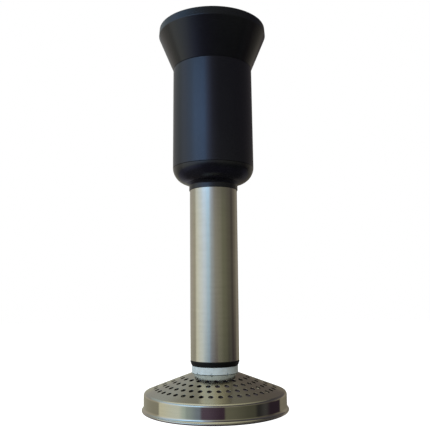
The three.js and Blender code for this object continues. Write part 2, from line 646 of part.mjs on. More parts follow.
/** Sheet bell, drawn as a whole cone up to its apex before the middle is cut out for the hub. */
function bell() {
  const { holeR, skirtR, shoulderZ } = BELL;
  const inner = skirtR - BELL.sheet;
  const sheet = lathe([
    [0, bellTop(0)], [skirtR, shoulderZ, SHOULDER_ROUND], [skirtR, LIP.flareTop], [LIP.flareR, LIP.flareLow],
    [LIP.r, LIP.highest], [LIP.r, LIP.lowest], [LIP.r - LIP.edge, 0], [LIP.r - 4 * LIP.edge, 0],
    [inner, LIP.flareLow], [inner, bellTop(inner) - sheetDrop], [0, bellTop(0) - sheetDrop],
  ], BELL_SIDES, 2);
  const middle = post(holeR, 0, bellTop(0) + PAST, 0, 0, BELL_SIDES);
  const holes = BELL_ROWS.flatMap(({ r, count, start }) => (
    around(count, 1, start).map(([x, y]) => punch(r, Math.atan2(y, x)))));
  return combine(sheet, { cut: [middle, ...holes] });
}

/** White hub seated on the bell, with the bayonet lugs inside and small notches round its lower edge. */
function bellHub() {
  const bore = SPIGOT_R + 2 * FIT;
  const spigot = BELL.holeR - FIT;
  const ring = lathe([
    [bore, HUB_LOW], [spigot, HUB_LOW], [spigot, bellTop(spigot) + FIT], [COLLAR_R, bellTop(COLLAR_R) + FIT],
    [COLLAR_R, COLLAR_TOP, COLLAR_EDGE], [bore, COLLAR_TOP],
  ]);
  const lugs = BAYONET_ANGLES.map((a) => (
    sector(LUG.innerR, bore + LUG_OVERLAP, a - LUG_SPAN / 2, a + LUG_SPAN / 2, LUG.low, LUG.high)));
  const { count, start, r, length, rise } = HUB_NOTCH;
  const notches = around(count, 1, start).map(([x, y]) => {
    const notch = new THREE.CylinderGeometry(r, r, length, 6).rotateZ(Math.PI / 2);
    return notch.translate(COLLAR_R, 0, bellTop(COLLAR_R) + rise).rotateZ(Math.atan2(y, x));
  });
  return combine(ring, { join: lugs, cut: notches });
}

/** Threaded ring under the sheet that holds the hub on the bell, with four spanner notches. */
function hubRing() {
  const { r, low, notchDepth, notchHalf } = HUB_RING;
  const top = (at) => bellTop(at) - sheetDrop - FIT;
  const ring = lathe([[BELL.holeR, low], [r, low], [r, top(r)], [BELL.holeR, top(BELL.holeR)]]);
  const notches = [0, 90, 180, 270].map((a) => (
    sector(r - notchDepth, r + PAST, a - notchHalf, a + notchHalf, low - PAST, BELL.topZ)));
  return combine(ring, { cut: notches });
}

add('bell', bell(), STAINLESS);
add('bell_hub', bellHub(), WHITE_ACETAL);
add('hub_ring', hubRing(), BLACK_NYLON);

// ---- output shaft and rotor ----
function crossPin(r, half) {
  const pin = new THREE.CylinderGeometry(r, r, 2 * half, PIN_SIDES).rotateZ(Math.PI / 2);
  return pin.translate(0, 0, DRIVE_PIN.z);
}

function outputShaft() {
  const { r, low, high, chamfer } = STUB;
  const top = STAGES[1].plateHigh - FIT;
  const shaft = lathe([
    [0, low], [r - chamfer, low], [r, low + chamfer], [r, high], [OUTPUT_R, high], [OUTPUT_R, top], [0, top],
  ], SMALL_SIDES);
  return combine(shaft, { cut: [crossPin(DRIVE_PIN.r + FIT, OUTPUT_R + PAST)] });
}

/** Three leaning blades on a hub, trimmed to follow the inside of the bell. */
function rotor() {
  const { hubR, hubLow, hubEdge, tipR, bladeLow } = ROTOR;
  const { half, thick, lean, root, rampFrom, rampTo } = BLADE;
  const bore = boreFor(STUB.r, FIT);
  const hubTop = STUB.high - HEAD_GAP;
  const rootR = hubR - root;
  const clear = (r) => bellTop(r) - sheetDrop - ROTOR.clear;
  const hub = lathe([[bore, hubLow], [hubR, hubLow, hubEdge], [hubR, hubTop], [bore, hubTop]], SMALL_SIDES);
  const envelope = lathe([
    [rootR, bladeLow], [tipR, bladeLow], [tipR, clear(tipR)], [rampTo, clear(rampTo)], [rampFrom, hubTop],
    [rootR, hubTop],
  ]);
  const blades = PLANET_ANGLES.map((angle) => {
    const blade = new THREE.BoxGeometry(tipR, thick, 2 * half);
    blade.rotateX(rad(lean)).translate(tipR / 2 + bore + 1, 0, hubLow + 1);
    return blade.rotateZ(rad(angle));
  });
  const arms = joined(blades).intersect(solid(envelope));
  const slot = new THREE.BoxGeometry(2 * (hubR + PAST), 2 * (DRIVE_PIN.r + FIT), DRIVE_SLOT.height);
  return geometryOf(arms.add(solid(hub)).subtract(solid(slot.translate(0, 0, DRIVE_SLOT.z))));
}

function rotorNut() {
  const shape = new THREE.Shape(around(6, ROTOR_NUT.r).map(([x, y]) => new THREE.Vector2(x, y)));
  shape.holes.push(circlePath(STUB.r + FIT, SMALL_SIDES));
  return prism(shape, ROTOR_NUT.low, ROTOR_NUT.high);
}

function rotorWasher() {
  const { r, low } = ROTOR_WASHER;
  const high = ROTOR.hubLow - FIT;
  const bore = boreFor(STUB.r, FIT);
  return lathe([[bore, low], [r, low], [r, high], [bore, high]], SMALL_SIDES);
}

add('output_shaft', outputShaft(), STEEL);
add('rotor_drive_pin', crossPin(DRIVE_PIN.r, DRIVE_PIN.half), STEEL);
add('rotor', rotor(), STAINLESS);
add('rotor_washer', rotorWasher(), STEEL);
add('rotor_nut', rotorNut(), STEEL);

export default foot;
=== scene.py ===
"""Looks for the stick mixer's puree foot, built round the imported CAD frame. Lengths are in millimetres."""
import json
import math
from collections import namedtuple

import bmesh
import bpy
from mathutils import Matrix, Vector

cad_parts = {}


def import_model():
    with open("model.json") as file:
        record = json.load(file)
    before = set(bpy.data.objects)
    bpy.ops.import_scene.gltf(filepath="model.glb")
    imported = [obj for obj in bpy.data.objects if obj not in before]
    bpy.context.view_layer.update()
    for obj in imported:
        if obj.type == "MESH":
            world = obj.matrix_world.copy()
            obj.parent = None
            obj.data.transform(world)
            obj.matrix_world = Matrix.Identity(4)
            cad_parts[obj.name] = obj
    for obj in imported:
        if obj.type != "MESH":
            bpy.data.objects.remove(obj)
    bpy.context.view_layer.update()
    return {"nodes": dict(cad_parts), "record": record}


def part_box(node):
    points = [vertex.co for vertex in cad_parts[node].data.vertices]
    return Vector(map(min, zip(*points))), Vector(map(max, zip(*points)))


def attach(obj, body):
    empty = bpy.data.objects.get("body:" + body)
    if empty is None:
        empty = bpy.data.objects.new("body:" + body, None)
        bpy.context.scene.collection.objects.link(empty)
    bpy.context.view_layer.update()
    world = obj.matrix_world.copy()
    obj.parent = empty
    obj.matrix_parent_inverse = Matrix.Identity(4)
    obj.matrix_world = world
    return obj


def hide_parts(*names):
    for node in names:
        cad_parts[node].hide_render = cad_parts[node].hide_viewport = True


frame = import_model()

MM = 0.001
GAP = 0.2  # between pieces that touch
PAST = 1.0  # how far a cutting shape goes past the piece that it cuts
FINE = 192  # sides of a large round piece
MEDIUM = 96  # sides of a shaft, seal or nut
COARSE = 32  # sides of a screw hole
STEP = 0.05  # between faces that would otherwise lie in one plane, which a boolean handles badly
SHARP_ANGLE = math.radians(31)  # edges bent more than this stay sharp
FULL_TURN = 2 * math.pi
SLOT_OF = {row["node"]: row["material_slot"] for row in frame["record"]["subparts"]}
BODY_OF = {node: body for body, nodes in frame["record"]["behaviour"]["bodies"].items() for node in nodes}


# ---- sizes read from the CAD frame ----
def span(node):
    """(radius, lowest, highest) of a round CAD node that stands on the axis."""
    low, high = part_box(node)
    return high.x / MM, low.z / MM, high.z / MM


def middle(node):
    """Centre of a CAD node."""
    low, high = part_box(node)
    return (low + high) / (2 * MM)


# ---- outlines ----
def outline(corners, steps):
    """Profile points from (radius, height, optional corner radius), with those corners made round."""
    points = []
    for i, corner in enumerate(corners):
        here = Vector(corner[:2])
        if len(corner) == 2:
            points.append(here)
            continue
        radius = corner[2]
        back = (Vector(corners[i - 1][:2]) - here).normalized()
        on = (Vector(corners[(i + 1) % len(corners)][:2]) - here).normalized()
        half = back.angle(on) / 2
        reach = radius / math.tan(half)
        centre = here + (back + on).normalized() * radius / math.sin(half)
        start = here + back * reach - centre
        end = here + on * reach - centre
        first = math.atan2(start.y, start.x)
        turn = (math.atan2(end.y, end.x) - first + math.pi) % FULL_TURN - math.pi
        for k in range(steps + 1):
            a = first + turn * k / steps
            points.append(centre + radius * Vector((math.cos(a), math.sin(a))))
    return points


def arc(r, z, radius, start, end, steps):
    """Profile points on an arc round (r, z), with its angles in degrees."""
    angles = [math.radians(start + (end - start) * k / steps) for k in range(steps + 1)]
    return [(r + radius * math.cos(a), z + radius * math.sin(a)) for a in angles]


def circle(sides, r):
    """Outline of a regular polygon round the origin."""
    turns = [FULL_TURN * k / sides for k in range(sides)]
    return [(r * math.cos(a), r * math.sin(a)) for a in turns]


def sector(inner, outer, start, end, steps=12):
    """Outline of a block between two radii and two angles in degrees."""
    return arc(0, 0, outer, start, end, steps) + arc(0, 0, inner, end, start, steps)


def rectangle(half_x, half_y):
    return [(-half_x, -half_y), (half_x, -half_y), (half_x, half_y), (-half_x, half_y)]


# ---- meshes ----
def add_object(name, data):
    made = bpy.data.objects.new(name, data)
    bpy.context.scene.collection.objects.link(made)
    return made


class Shape:
    """Vertices and faces of one piece as it is put together."""

    def __init__(self):
        self.verts = []
        self.faces = []

    def ring(self, r, z, angles):
        """A ring of vertices, or one vertex where it lies on the axis."""
        start = len(self.verts)
        if abs(r) < 1e-6:
            self.verts.append((0, 0, z))
            return [start]
        self.verts += [(r * math.cos(a), r * math.sin(a), z) for a in angles]
        return list(range(start, len(self.verts)))

    def strip(self, a, b):
        """Faces between two closed rings with the same number of vertices, or a fan to a single vertex."""
        n = max(len(a), len(b))
        for i in range(n):
            j = (i + 1) % n
            corners = [a[i % len(a)], a[j % len(a)], b[j % len(b)], b[i % len(b)]]
            self.faces.append(list(dict.fromkeys(corners)))

    def strips(self, rings):
        for a, b in zip(rings, rings[1:]):
            if len(a) + len(b) > 2:
                self.strip(a, b)

    def zipper(self, a, a_angles, b, b_angles):
        """Triangles between two closed rings with different numbers of vertices."""
        na, nb = len(a), len(b)

        def ahead(k):
            """Angle from a's first vertex to b's vertex k, between half a turn back and half a turn on."""
            return (b_angles[k] - a_angles[0] + math.pi) % FULL_TURN - math.pi

        shift = min(range(nb), key=lambda k: abs(ahead(k)))
        i = j = 0
        while i < na or j < nb:
            next_a = (i + 1) * FULL_TURN / na
            next_b = ahead(shift) + (j + 1) * FULL_TURN / nb
            if j == nb or (i < na and next_a <= next_b):
                self.faces.append([a[i % na], a[(i + 1) % na], b[(j + shift) % nb]])
                i += 1
            else:
                self.faces.append([a[i % na], b[(j + 1 + shift) % nb], b[(j + shift) % nb]])
                j += 1

    def revolve(self, corners, sides=FINE, steps=4):
        """A closed profile turned about Z."""
        angles = [FULL_TURN * k / sides for k in range(sides)]
        rings = [self.ring(p.x, p.y, angles) for p in outline(corners, steps)]
        self.strips(rings + rings[:1])
        return self

    def prism(self, points, low, high):
        """A flat outline pulled up from low to high."""
        n = len(points)
        start = len(self.verts)
        self.verts += [(x, y, z) for z in (low, high) for x, y in points]
        self.faces.append(list(range(start, start + n))[::-1])
        self.faces.append(list(range(start + n, start + 2 * n)))
        for k in range(n):
            j = (k + 1) % n
            self.faces.append([start + k, start + j, start + n + j, start + n + k])
        return self

    def object(self, name):
        """The shape as an object in metres, with its normals pointing outwards."""
        mesh = bpy.data.meshes.new(name)
        mesh.from_pydata([Vector(v) * MM for v in self.verts], [], self.faces)
        tidy = bmesh.new()
        tidy.from_mesh(mesh)
        bmesh.ops.remove_doubles(tidy, verts=tidy.verts, dist=1e-7)
        bmesh.ops.recalc_face_normals(tidy, faces=tidy.faces)
        tidy.to_mesh(mesh)
        tidy.free()
        return add_object(name, mesh)


def apply_modifiers(thing):
    graph = bpy.context.evaluated_depsgraph_get()
    done = bpy.data.meshes.new_from_object(thing.evaluated_get(graph))
    thing.modifiers.clear()
    thing.data = done
    return thing


def combine(thing, tools, operation):
    """Joins the tools' shapes to a piece, or cuts them from it, and removes the tools."""
    for tool in tools:
        boolean = thing.modifiers.new("boolean", "BOOLEAN")
        boolean.operation = operation
        boolean.solver = "EXACT"
        boolean.object = tool
        apply_modifiers(thing)
        bpy.data.objects.remove(tool)
    return thing


def cut(thing, tools):
    return combine(thing, tools, "DIFFERENCE")


def join(thing, tools):
    return combine(thing, tools, "UNION")


def round_edges(thing, width):
    bevel = thing.modifiers.new("bevel", "BEVEL")
    bevel.width = width * MM
    bevel.segments = 3
    bevel.limit_method = "ANGLE"
    bevel.angle_limit = math.radians(35)
    return apply_modifiers(thing)


def smooth(thing):
    """Smooth shading with sharp edges kept sharp, and with the largest faces deciding how it looks."""
    thing.data.shade_smooth()
    thing.data.set_sharp_from_angle(angle=SHARP_ANGLE)
    normals = thing.modifiers.new("normals", "WEIGHTED_NORMAL")
    normals.keep_sharp = True
    apply_modifiers(thing)


def finish_piece(thing, node, material=None):
    """Shades a finished mesh and has it stand for a CAD node, with that node's body and material."""
    slot = SLOT_OF[node]
    smooth(thing)
    thing.data.materials.clear()
    thing.data.materials.append(material or OF_SLOT[slot])
    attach(thing, BODY_OF[node])
    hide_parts(node)
    return thing


def moved(thing, x=0.0, y=0.0, z=0.0, turn=Matrix.Identity(4)):
    """Turns a piece about the origin and then shifts it, in its mesh."""
    thing.data.transform(Matrix.Translation(Vector((x, y, z)) * MM) @ turn)
    return thing


def turned_about(axis, degrees):
    return Matrix.Rotation(math.radians(degrees), 4, axis)


# ---- materials ----
def add_node(tree, kind, inputs=None, **settings):
    """A shader node, with each input linked to a socket or set to a value."""
    made = tree.nodes.new(kind)
    for key, value in settings.items():
        setattr(made, key, value)
    for key, value in (inputs or {}).items():
        if isinstance(value, bpy.types.NodeSocket):
            tree.links.new(value, made.inputs[key])
        else:
            made.inputs[key].default_value = value
    return made


class Look:
    """A node material with helpers for procedural detail in the piece's own coordinates."""

    def __init__(self, name, base, roughness, metallic=0.0):
        self.material = bpy.data.materials.new(name)
        self.material.use_nodes = True
        self.tree = self.material.node_tree
        self.shader = self.tree.nodes["Principled BSDF"]
        self.shader.inputs["Metallic"].default_value = metallic
        self.base = base
        self.roughness = roughness
        self.place = self.node("ShaderNodeTexCoord").outputs["Object"]

    def node(self, kind, inputs=None, **settings):
        return add_node(self.tree, kind, inputs, **settings)

    def feed(self, name, socket):
        self.tree.links.new(socket, self.shader.inputs[name])

    def gloss(self, level, tint=(1, 1, 1)):
        """Strength and tint of the clear reflection of a material that isn't metal."""
        self.shader.inputs["Specular IOR Level"].default_value = level
        self.shader.inputs["Specular Tint"].default_value = (*tint, 1)

    def brush(self, anisotropy):
        """Stretches highlights across lines that run round the axis."""
        self.shader.inputs["Anisotropic"].default_value = anisotropy
        self.shader.inputs["Anisotropic Rotation"].default_value = 0.25
        self.feed("Tangent", self.node("ShaderNodeTangent", direction_type="RADIAL", axis="Z").outputs[0])

    def math(self, operation, a, b=0.0, c=0.0):
        return self.node("ShaderNodeMath", {0: a, 1: b, 2: c}, operation=operation).outputs[0]

    def blend(self, a, b, share):
        """share of a, and the rest of b."""
        return self.math("MULTIPLY_ADD", a, share, self.math("MULTIPLY", b, 1 - share))

    def noise(self, vector, scale, detail=3.0, rough=0.55):
        inputs = {"Vector": vector, "Scale": scale, "Detail": detail, "Roughness": rough}
        return self.node("ShaderNodeTexNoise", inputs).outputs["Fac"]

    def ramp(self, value, low, high, from_low=0.3, from_high=0.7):
        """Takes value from from_low..from_high, where noise mostly lies, to low..high."""
        inputs = {"Value": value, "From Min": from_low, "From Max": from_high, "To Min": low, "To Max": high}
        return self.node("ShaderNodeMapRange", inputs).outputs["Result"]

    def radius(self):
        """Distance from the piece's axis."""
        x, y, _ = self.node("ShaderNodeSeparateXYZ", {0: self.place}).outputs
        return self.math("SQRT", self.math("MULTIPLY_ADD", x, x, self.math("MULTIPLY", y, y)))

    def height(self):
        return self.node("ShaderNodeSeparateXYZ", {0: self.place}).outputs["Z"]

    def round_noise(self, across, along, around, detail, rough):
        """Noise drawn out into lines round the axis, with a scale for each of radius, height and turn."""
        spread_out = {0: self.place, 1: (1, 1, 0)}
        flat = self.node("ShaderNodeVectorMath", spread_out, operation="MULTIPLY").outputs[0]
        unit = self.node("ShaderNodeVectorMath", {0: flat}, operation="NORMALIZE").outputs[0]
        x, y, _ = self.node("ShaderNodeSeparateXYZ", {0: unit}).outputs
        line = self.math("MULTIPLY_ADD", self.radius(), across, self.math("MULTIPLY", self.height(), along))
        turned = {0: self.math("MULTIPLY", x, around), 1: self.math("MULTIPLY", y, around), 2: line}
        return self.noise(self.node("ShaderNodeCombineXYZ", turned).outputs[0], 1.0, detail, rough)

    def mix_colours(self, share, a, b):
        inputs = {"Factor": share, "A": a, "B": b}
        return self.node("ShaderNodeMix", inputs, data_type="RGBA").outputs["Result"]

    def shades(self, value, dark, light):
        """A colour that runs between two shades of the base with a noise value."""
        low = (*[c * dark for c in self.base], 1)
        high = (*[min(1.0, c * light) for c in self.base], 1)
        return self.mix_colours(self.ramp(value, 0.0, 1.0), low, high)

    def colour(self, value, dark, light):
        self.feed("Base Color", self.shades(value, dark, light))

    def rough(self, value, spread):
        low, high = self.roughness * (1 - spread), self.roughness * (1 + spread)
        self.feed("Roughness", self.ramp(value, low, high))

    def bump(self, height, strength, depth):
        inputs = {"Height": height, "Strength": strength, "Distance": depth * MM}
        self.feed("Normal", self.node("ShaderNodeBump", inputs).outputs["Normal"])


def moulded_plastic(name, base, roughness, grain, depth, gloss=0.5, tint=(1, 1, 1)):
    """Injection-moulded plastic: a fine even grain, faint flow clouds and light scuffs."""
    look = Look(name, base, roughness)
    look.gloss(gloss, tint)
    fine = look.noise(look.place, grain, 2.0, 0.6)
    cloud = look.noise(look.place, 34.0, 4.0, 0.6)
    scuff = look.noise(look.place, 260.0, 5.0, 0.72)
    worn = look.blend(cloud, scuff, 0.6)
    look.colour(worn, 0.82, 1.2)
    look.rough(worn, 0.14)
    look.bump(look.math("MULTIPLY_ADD", scuff, 0.5, fine), 0.35, depth)
    return look.material


def turned_metal(name, base, roughness, across, along, depth, anisotropy, streak):
    """Metal with fine lines round the axis, as brushing or turning leaves them."""
    look = Look(name, base, roughness, 1.0)
    look.brush(anisotropy)
    lines = look.round_noise(across, along, 2.2, 6.0, 0.75)
    broad = look.round_noise(across * 0.07, along * 0.07, 1.1, 3.0, 0.6)
    cloud = look.noise(look.place, 45.0, 4.0, 0.65)
    look.colour(look.blend(broad, cloud, 0.5), 0.93, 1.05)
    look.rough(look.blend(lines, cloud, 0.7), streak)
    look.bump(lines, 0.25, depth)
    return look.material


def black_nylon():
    return moulded_plastic("black_nylon", (0.0042, 0.0042, 0.0050), roughness=0.22, grain=2300.0,
                           depth=0.006, gloss=0.65, tint=(0.8, 0.85, 1.0))


def white_acetal():
    return moulded_plastic("white_acetal", (0.50, 0.56, 0.57), roughness=0.36, grain=1500.0, depth=0.008)


def gear_nylon():
    return moulded_plastic("gear_nylon", (0.66, 0.60, 0.45), roughness=0.42, grain=1500.0, depth=0.01)


def black_rubber():
    """Soft rubber: matt, cloudy and finely grained."""
    look = Look("black_rubber", (0.0035, 0.0035, 0.0035), 0.5)
    look.gloss(0.25)
    cloud = look.noise(look.place, 90.0, 4.0, 0.65)
    look.colour(cloud, 0.75, 1.35)
    look.rough(cloud, 0.15)
    look.bump(look.noise(look.place, 2600.0, 2.0, 0.6), 0.3, 0.02)
    return look.material


def brushed_tube_steel():
    return turned_metal("tube_stainless", (0.62, 0.605, 0.55), roughness=0.17, across=400.0,
                        along=5200.0, depth=0.006, anisotropy=0.5, streak=0.24)


def turned_steel():
    return turned_metal("turned_steel", (0.50, 0.50, 0.50), roughness=0.3, across=5200.0,
                        along=5200.0, depth=0.02, anisotropy=0.4, streak=0.3)


def polished_casting():
    return turned_metal("polished_cast_steel", (0.56, 0.55, 0.51), roughness=0.26, across=900.0,
                        along=900.0, depth=0.03, anisotropy=0.2, streak=0.4)


def turned_aluminium():
    return turned_metal("turned_aluminium", (0.71, 0.71, 0.72), roughness=0.32, across=4600.0,
                        along=4600.0, depth=0.02, anisotropy=0.5, streak=0.3)


def bronze():
    return turned_metal("bronze", (0.58, 0.37, 0.17), roughness=0.35, across=4600.0,
                        along=4600.0, depth=0.02, anisotropy=0.4, streak=0.3)


OF_SLOT = {
    "black_nylon": black_nylon(), "white_acetal": white_acetal(), "gear_nylon": gear_nylon(),
    "black_rubber": black_rubber(), "stainless": brushed_tube_steel(), "steel": turned_steel(),
    "aluminium": turned_aluminium(), "bronze": bronze(),
}
# CAD nodes that stay in view take their slot's material as they are
for node, slot in SLOT_OF.items():
    cad_mesh = frame["nodes"][node].data
    cad_mesh.materials.clear()
    cad_mesh.materials.append(OF_SLOT[slot])


# ---- housing, cup and end cap ----
tube_r, tube_low, tube_top = span("drive_tube")
body_low_r, body_low, body_high = span("gear_housing")
cup_r, cup_low, cup_high = span("coupling_cup")
ring_r, ring_low, ring_high = span("coupling_ring")
core_r = span("upper_bearing_plate")[0]
gasket_r, gasket_low, gasket_high = span("tube_gasket")
BODY_HIGH_R = 36.0  # of the housing's upper end
BODY_BORE_R = core_r + GAP
CUP_WALL = 2.8
CUP_FLOOR = body_high + GAP
CREASE_Z = cup_high - 7.2  # where the cup's flare turns upright
RIM_R = cup_r - 0.55
CUP_HUB_R = 23.8
CUP_SLOPE = (cup_r - BODY_HIGH_R) / (CREASE_Z - CUP_FLOOR)
TUBE_WALL = 1.5
SCREW_PLACES = [middle(f"cup_screw_{k}").xy for k in range(1, 5)]
SCREW_BORE_R = 2.3
SINK_R = 3.9  # of the recess for a screw's head
SCREW_HEAD = 3.2  # thickness of a cup screw's head
BOSS_R = 4.0
BOSS_HEIGHT = 13.0
BOWL_R = 15.0  # radius of the end cap's rounded shoulder
BOWL_RISE = 0.8  # of its centre above the seam
CAP_WALL = 3.0
NECK_R = 21.8  # of the end cap's neck


def post(name, r, low, high, sides=COARSE):
    """A plain cylinder on the axis."""
    return Shape().revolve([(0, low), (r, low), (r, high), (0, high)], sides).object(name)


def at_each_screw(name, r, low, high):
    """An upright post at the place of each cup screw."""
    return [moved(post(f"{name}_{k}", r, low, high), *place) for k, place in enumerate(SCREW_PLACES, 1)]


def cup_bore(z):
    """Radius of the cup's inner wall at height z, below its crease."""
    return BODY_HIGH_R - CUP_WALL + (z - CUP_FLOOR) * CUP_SLOPE


def coupling_cup():
    """Flared shell with a thick floor, a spigot under it, and a bore for each screw."""
    seat_r = span("input_seal")[0] + GAP
    floor_top = ring_low - GAP
    made = Shape().revolve([
        (seat_r, cup_low, 0.3), (CUP_HUB_R, cup_low, 0.4), (CUP_HUB_R, CUP_FLOOR),
        (BODY_HIGH_R, CUP_FLOOR, 0.35), (cup_r, CREASE_Z, 1.3), (RIM_R, cup_high, 0.85),
        (RIM_R - CUP_WALL, cup_high, 0.8), (cup_r - CUP_WALL, CREASE_Z, 2.0),
        (cup_bore(ring_low), floor_top, 0.8), (seat_r, floor_top, 0.4),
    ], steps=6).object("cup_shell")
    cut(made, at_each_screw("bore", SCREW_BORE_R, CUP_FLOOR - PAST, ring_low + PAST))
    return finish_piece(made, "coupling_cup")


def gear_housing():
    """Tapered sleeve with an inner flange at its top and four bosses for the cup's screws."""
    flange_low = body_high - 4.0
    boss_low = body_high - BOSS_HEIGHT
    bore = CUP_HUB_R + GAP
    made = Shape().revolve([
        (BODY_BORE_R, body_low), (body_low_r, body_low, 0.3), (BODY_HIGH_R, body_high, 0.3),
        (bore, body_high), (bore, flange_low), (BODY_BORE_R, flange_low),
    ]).object("housing_shell")
    join(made, at_each_screw("boss", BOSS_R, boss_low, body_high - PAST))
    cut(made, at_each_screw("bore", SCREW_BORE_R, boss_low - PAST, body_high + PAST))
    return finish_piece(made, "gear_housing")


def end_cap():
    """Bowl and neck under the housing, with a step at the seam and a web over the tube's end."""
    _, cap_low, cap_high = span("end_cap")
    seam = body_low - GAP
    bowl_r, bowl_z = body_low_r - BOWL_R, body_low + BOWL_RISE
    bowl = arc(bowl_r, bowl_z, BOWL_R, -4, -78, 28)
    inside = arc(bowl_r, bowl_z, BOWL_R - CAP_WALL, -72, -45, 8)
    neck_top = bowl[-1][1] - 1.7
    tube_bore = tube_r + GAP
    web_low = tube_top + 0.4
    web_high = web_low + 4.0
    ferrule_bore, socket_r = 17.2, 24.6
    shape = Shape().revolve([
        (core_r, cap_high, 0.4), (core_r, seam), (body_low_r - 0.25, seam), *bowl,
        (NECK_R, neck_top, 1.6), (NECK_R, cap_low, 0.2), (tube_bore, cap_low), (tube_bore, web_low),
        (ferrule_bore, web_low), (ferrule_bore, web_high), (socket_r, web_high), *inside,
        (core_r - CAP_WALL, inside[-1][1] + 1), (core_r - CAP_WALL, cap_high, 0.4),
    ])
    return finish_piece(shape.object("end_cap_shell"), "end_cap")


def drive_tube():
    bore = tube_r - TUBE_WALL
    shape = Shape().revolve([
        (bore, tube_low, 0.2), (tube_r, tube_low, 0.25), (tube_r, tube_top, 0.25), (bore, tube_top, 0.2),
    ])
    return finish_piece(shape.object("tube_shell"), "drive_tube")


def tube_gasket():
    """Rubber ring that tapers from the tube down to the collar."""
    bore, foot_r = 17.8, 20.1
    shape = Shape().revolve([
        (bore, gasket_low), (foot_r, gasket_low, 0.3), (gasket_r, gasket_high - 1.1, 0.5),
        (gasket_r, gasket_high, 0.35), (bore, gasket_high),
    ])
    return finish_piece(shape.object("gasket_ring"), "tube_gasket")


coupling_cup()
gear_housing()
end_cap()
drive_tube()
tube_gasket()


# ---- inside the cup ----
def head_low(k):
    """Height of the underside of cup screw k's head."""
    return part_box(f"cup_screw_{k}")[1].z / MM - SCREW_HEAD


def coupling_ring():
    """Bayonet ring, with three lugs in its upper half and four counterbored screw holes."""
    bore, lug_r, lug_height, half_lug = 22.0, 19.5, 4.0, 20
    made = Shape().revolve([
        (bore, ring_low, 0.4), (ring_r, ring_low, 0.4), (ring_r, ring_high, 0.5), (bore, ring_high, 0.5),
    ]).object("bayonet_ring")
    lug_root_r = bore + 0.6
    lugs = []
    for a in (30, 150, 270):
        lug_outline = sector(lug_r, lug_root_r, a - half_lug, a + half_lug)
        lug = Shape().prism(lug_outline, ring_high - lug_height, ring_high - STEP)
        lugs.append(round_edges(lug.object(f"lug_{a}"), 0.35))
    join(made, lugs)
    cut(made, at_each_screw("sink", SINK_R, head_low(1), ring_high + PAST))
    cut(made, at_each_screw("bore", SCREW_BORE_R, ring_low - PAST, ring_high))
    return finish_piece(made, "coupling_ring")


def socket_head_screw(name, low, head_z, top, shank_r, head_r, key_r):
    """Socket-head screw with a hexagonal recess and rounded edges."""
    key_depth = 1.8
    made = Shape().revolve([
        (0, low), (shank_r, low, 0.4), (shank_r, head_z), (head_r, head_z, 0.2), (head_r, top, 0.5),
        (0, top),
    ], MEDIUM).object(name)
    return cut(made, [Shape().prism(circle(6, key_r), top - key_depth, top + PAST).object("recess")])


def cup_screws():
    for k, place in enumerate(SCREW_PLACES, 1):
        low, high = (corner.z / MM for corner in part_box(f"cup_screw_{k}"))
        made = socket_head_screw(
            f"cup_bolt_{k}", low, head_low(k), high, shank_r=1.95, head_r=3.6, key_r=1.75)
        finish_piece(moved(made, *place), f"cup_screw_{k}")


def motor_seat_seal():
    """Rubber ring against the cup's sloping wall."""
    _, low, high = span("motor_seat_seal")
    low_r, high_r = cup_bore(low) - GAP, cup_bore(high) - GAP
    low_width, high_width = 1.4, 2.1
    shape = Shape().revolve([
        (low_r, low, 0.3), (high_r, high, 0.3), (high_r - high_width, high, 0.7),
        (low_r - low_width, low, 0.3),
    ])
    return finish_piece(shape.object("seat_ring"), "motor_seat_seal")


def lip_seal(name, node, shaft_r):
    """Ring seal with a thin lip on the shaft and a shallow dish on top."""
    r, low, high = span(node)
    lip_r = shaft_r + GAP
    dish = high - 0.9
    shape = Shape().revolve([
        (lip_r, low + 1, 0.15), (lip_r + 1.4, low, 0.2), (r, low, 0.3), (r, high, 0.4),
        (r - 1.6, high, 0.3), (r - 2.2, dish, 0.3), (lip_r + 1.2, dish, 0.3), (lip_r, low + 2, 0.15),
    ], MEDIUM)
    return finish_piece(shape.object(name), node)


def star(r, wave, points):
    """Wavy outline with rounded points."""
    turns = [FULL_TURN * k / MEDIUM for k in range(MEDIUM)]
    reach = [r + wave * math.cos(points * a) for a in turns]
    return [(far * math.cos(a), far * math.sin(a)) for far, a in zip(reach, turns)]


def drive_socket():
    """Driven half of the coupling, with a wavy six-pointed socket that widens at its mouth."""
    r, low, high = span("drive_socket")
    star_floor = span("socket_screw")[2] - 3.2
    shaft_top = star_floor - 2.6
    shaft_r, screw_r, throat_r, mouth_r = 5.2, 2.8, 6.9, 8.0
    throat_z, mouth_z = high - 2, high - 0.9
    made = Shape().revolve([
        (shaft_r, low, 0.3), (r, low, 0.6), (r, high, 1.2), (screw_r, high), (screw_r, shaft_top),
        (shaft_r, shaft_top),
    ], MEDIUM).object("drive_star_socket")
    socket = Shape().prism(star(r=6.6, wave=1.0, points=6), star_floor, high + PAST).object("socket")
    mouth = Shape().revolve([
        (0, throat_z), (throat_r, throat_z), (mouth_r, mouth_z), (mouth_r, high + PAST), (0, high + PAST),
    ], MEDIUM).object("mouth")
    return finish_piece(cut(made, [socket, mouth]), "drive_socket")


def socket_screw():
    r, low, high = span("socket_screw")
    head_z = high - 3
    made = socket_head_screw("socket_bolt", low, head_z, high, shank_r=2.4, head_r=r, key_r=2.3)
    return finish_piece(made, "socket_screw")


coupling_ring()
cup_screws()
motor_seat_seal()
lip_seal("floor_seal", "input_seal", shaft_r=6.0)
drive_socket()
socket_screw()


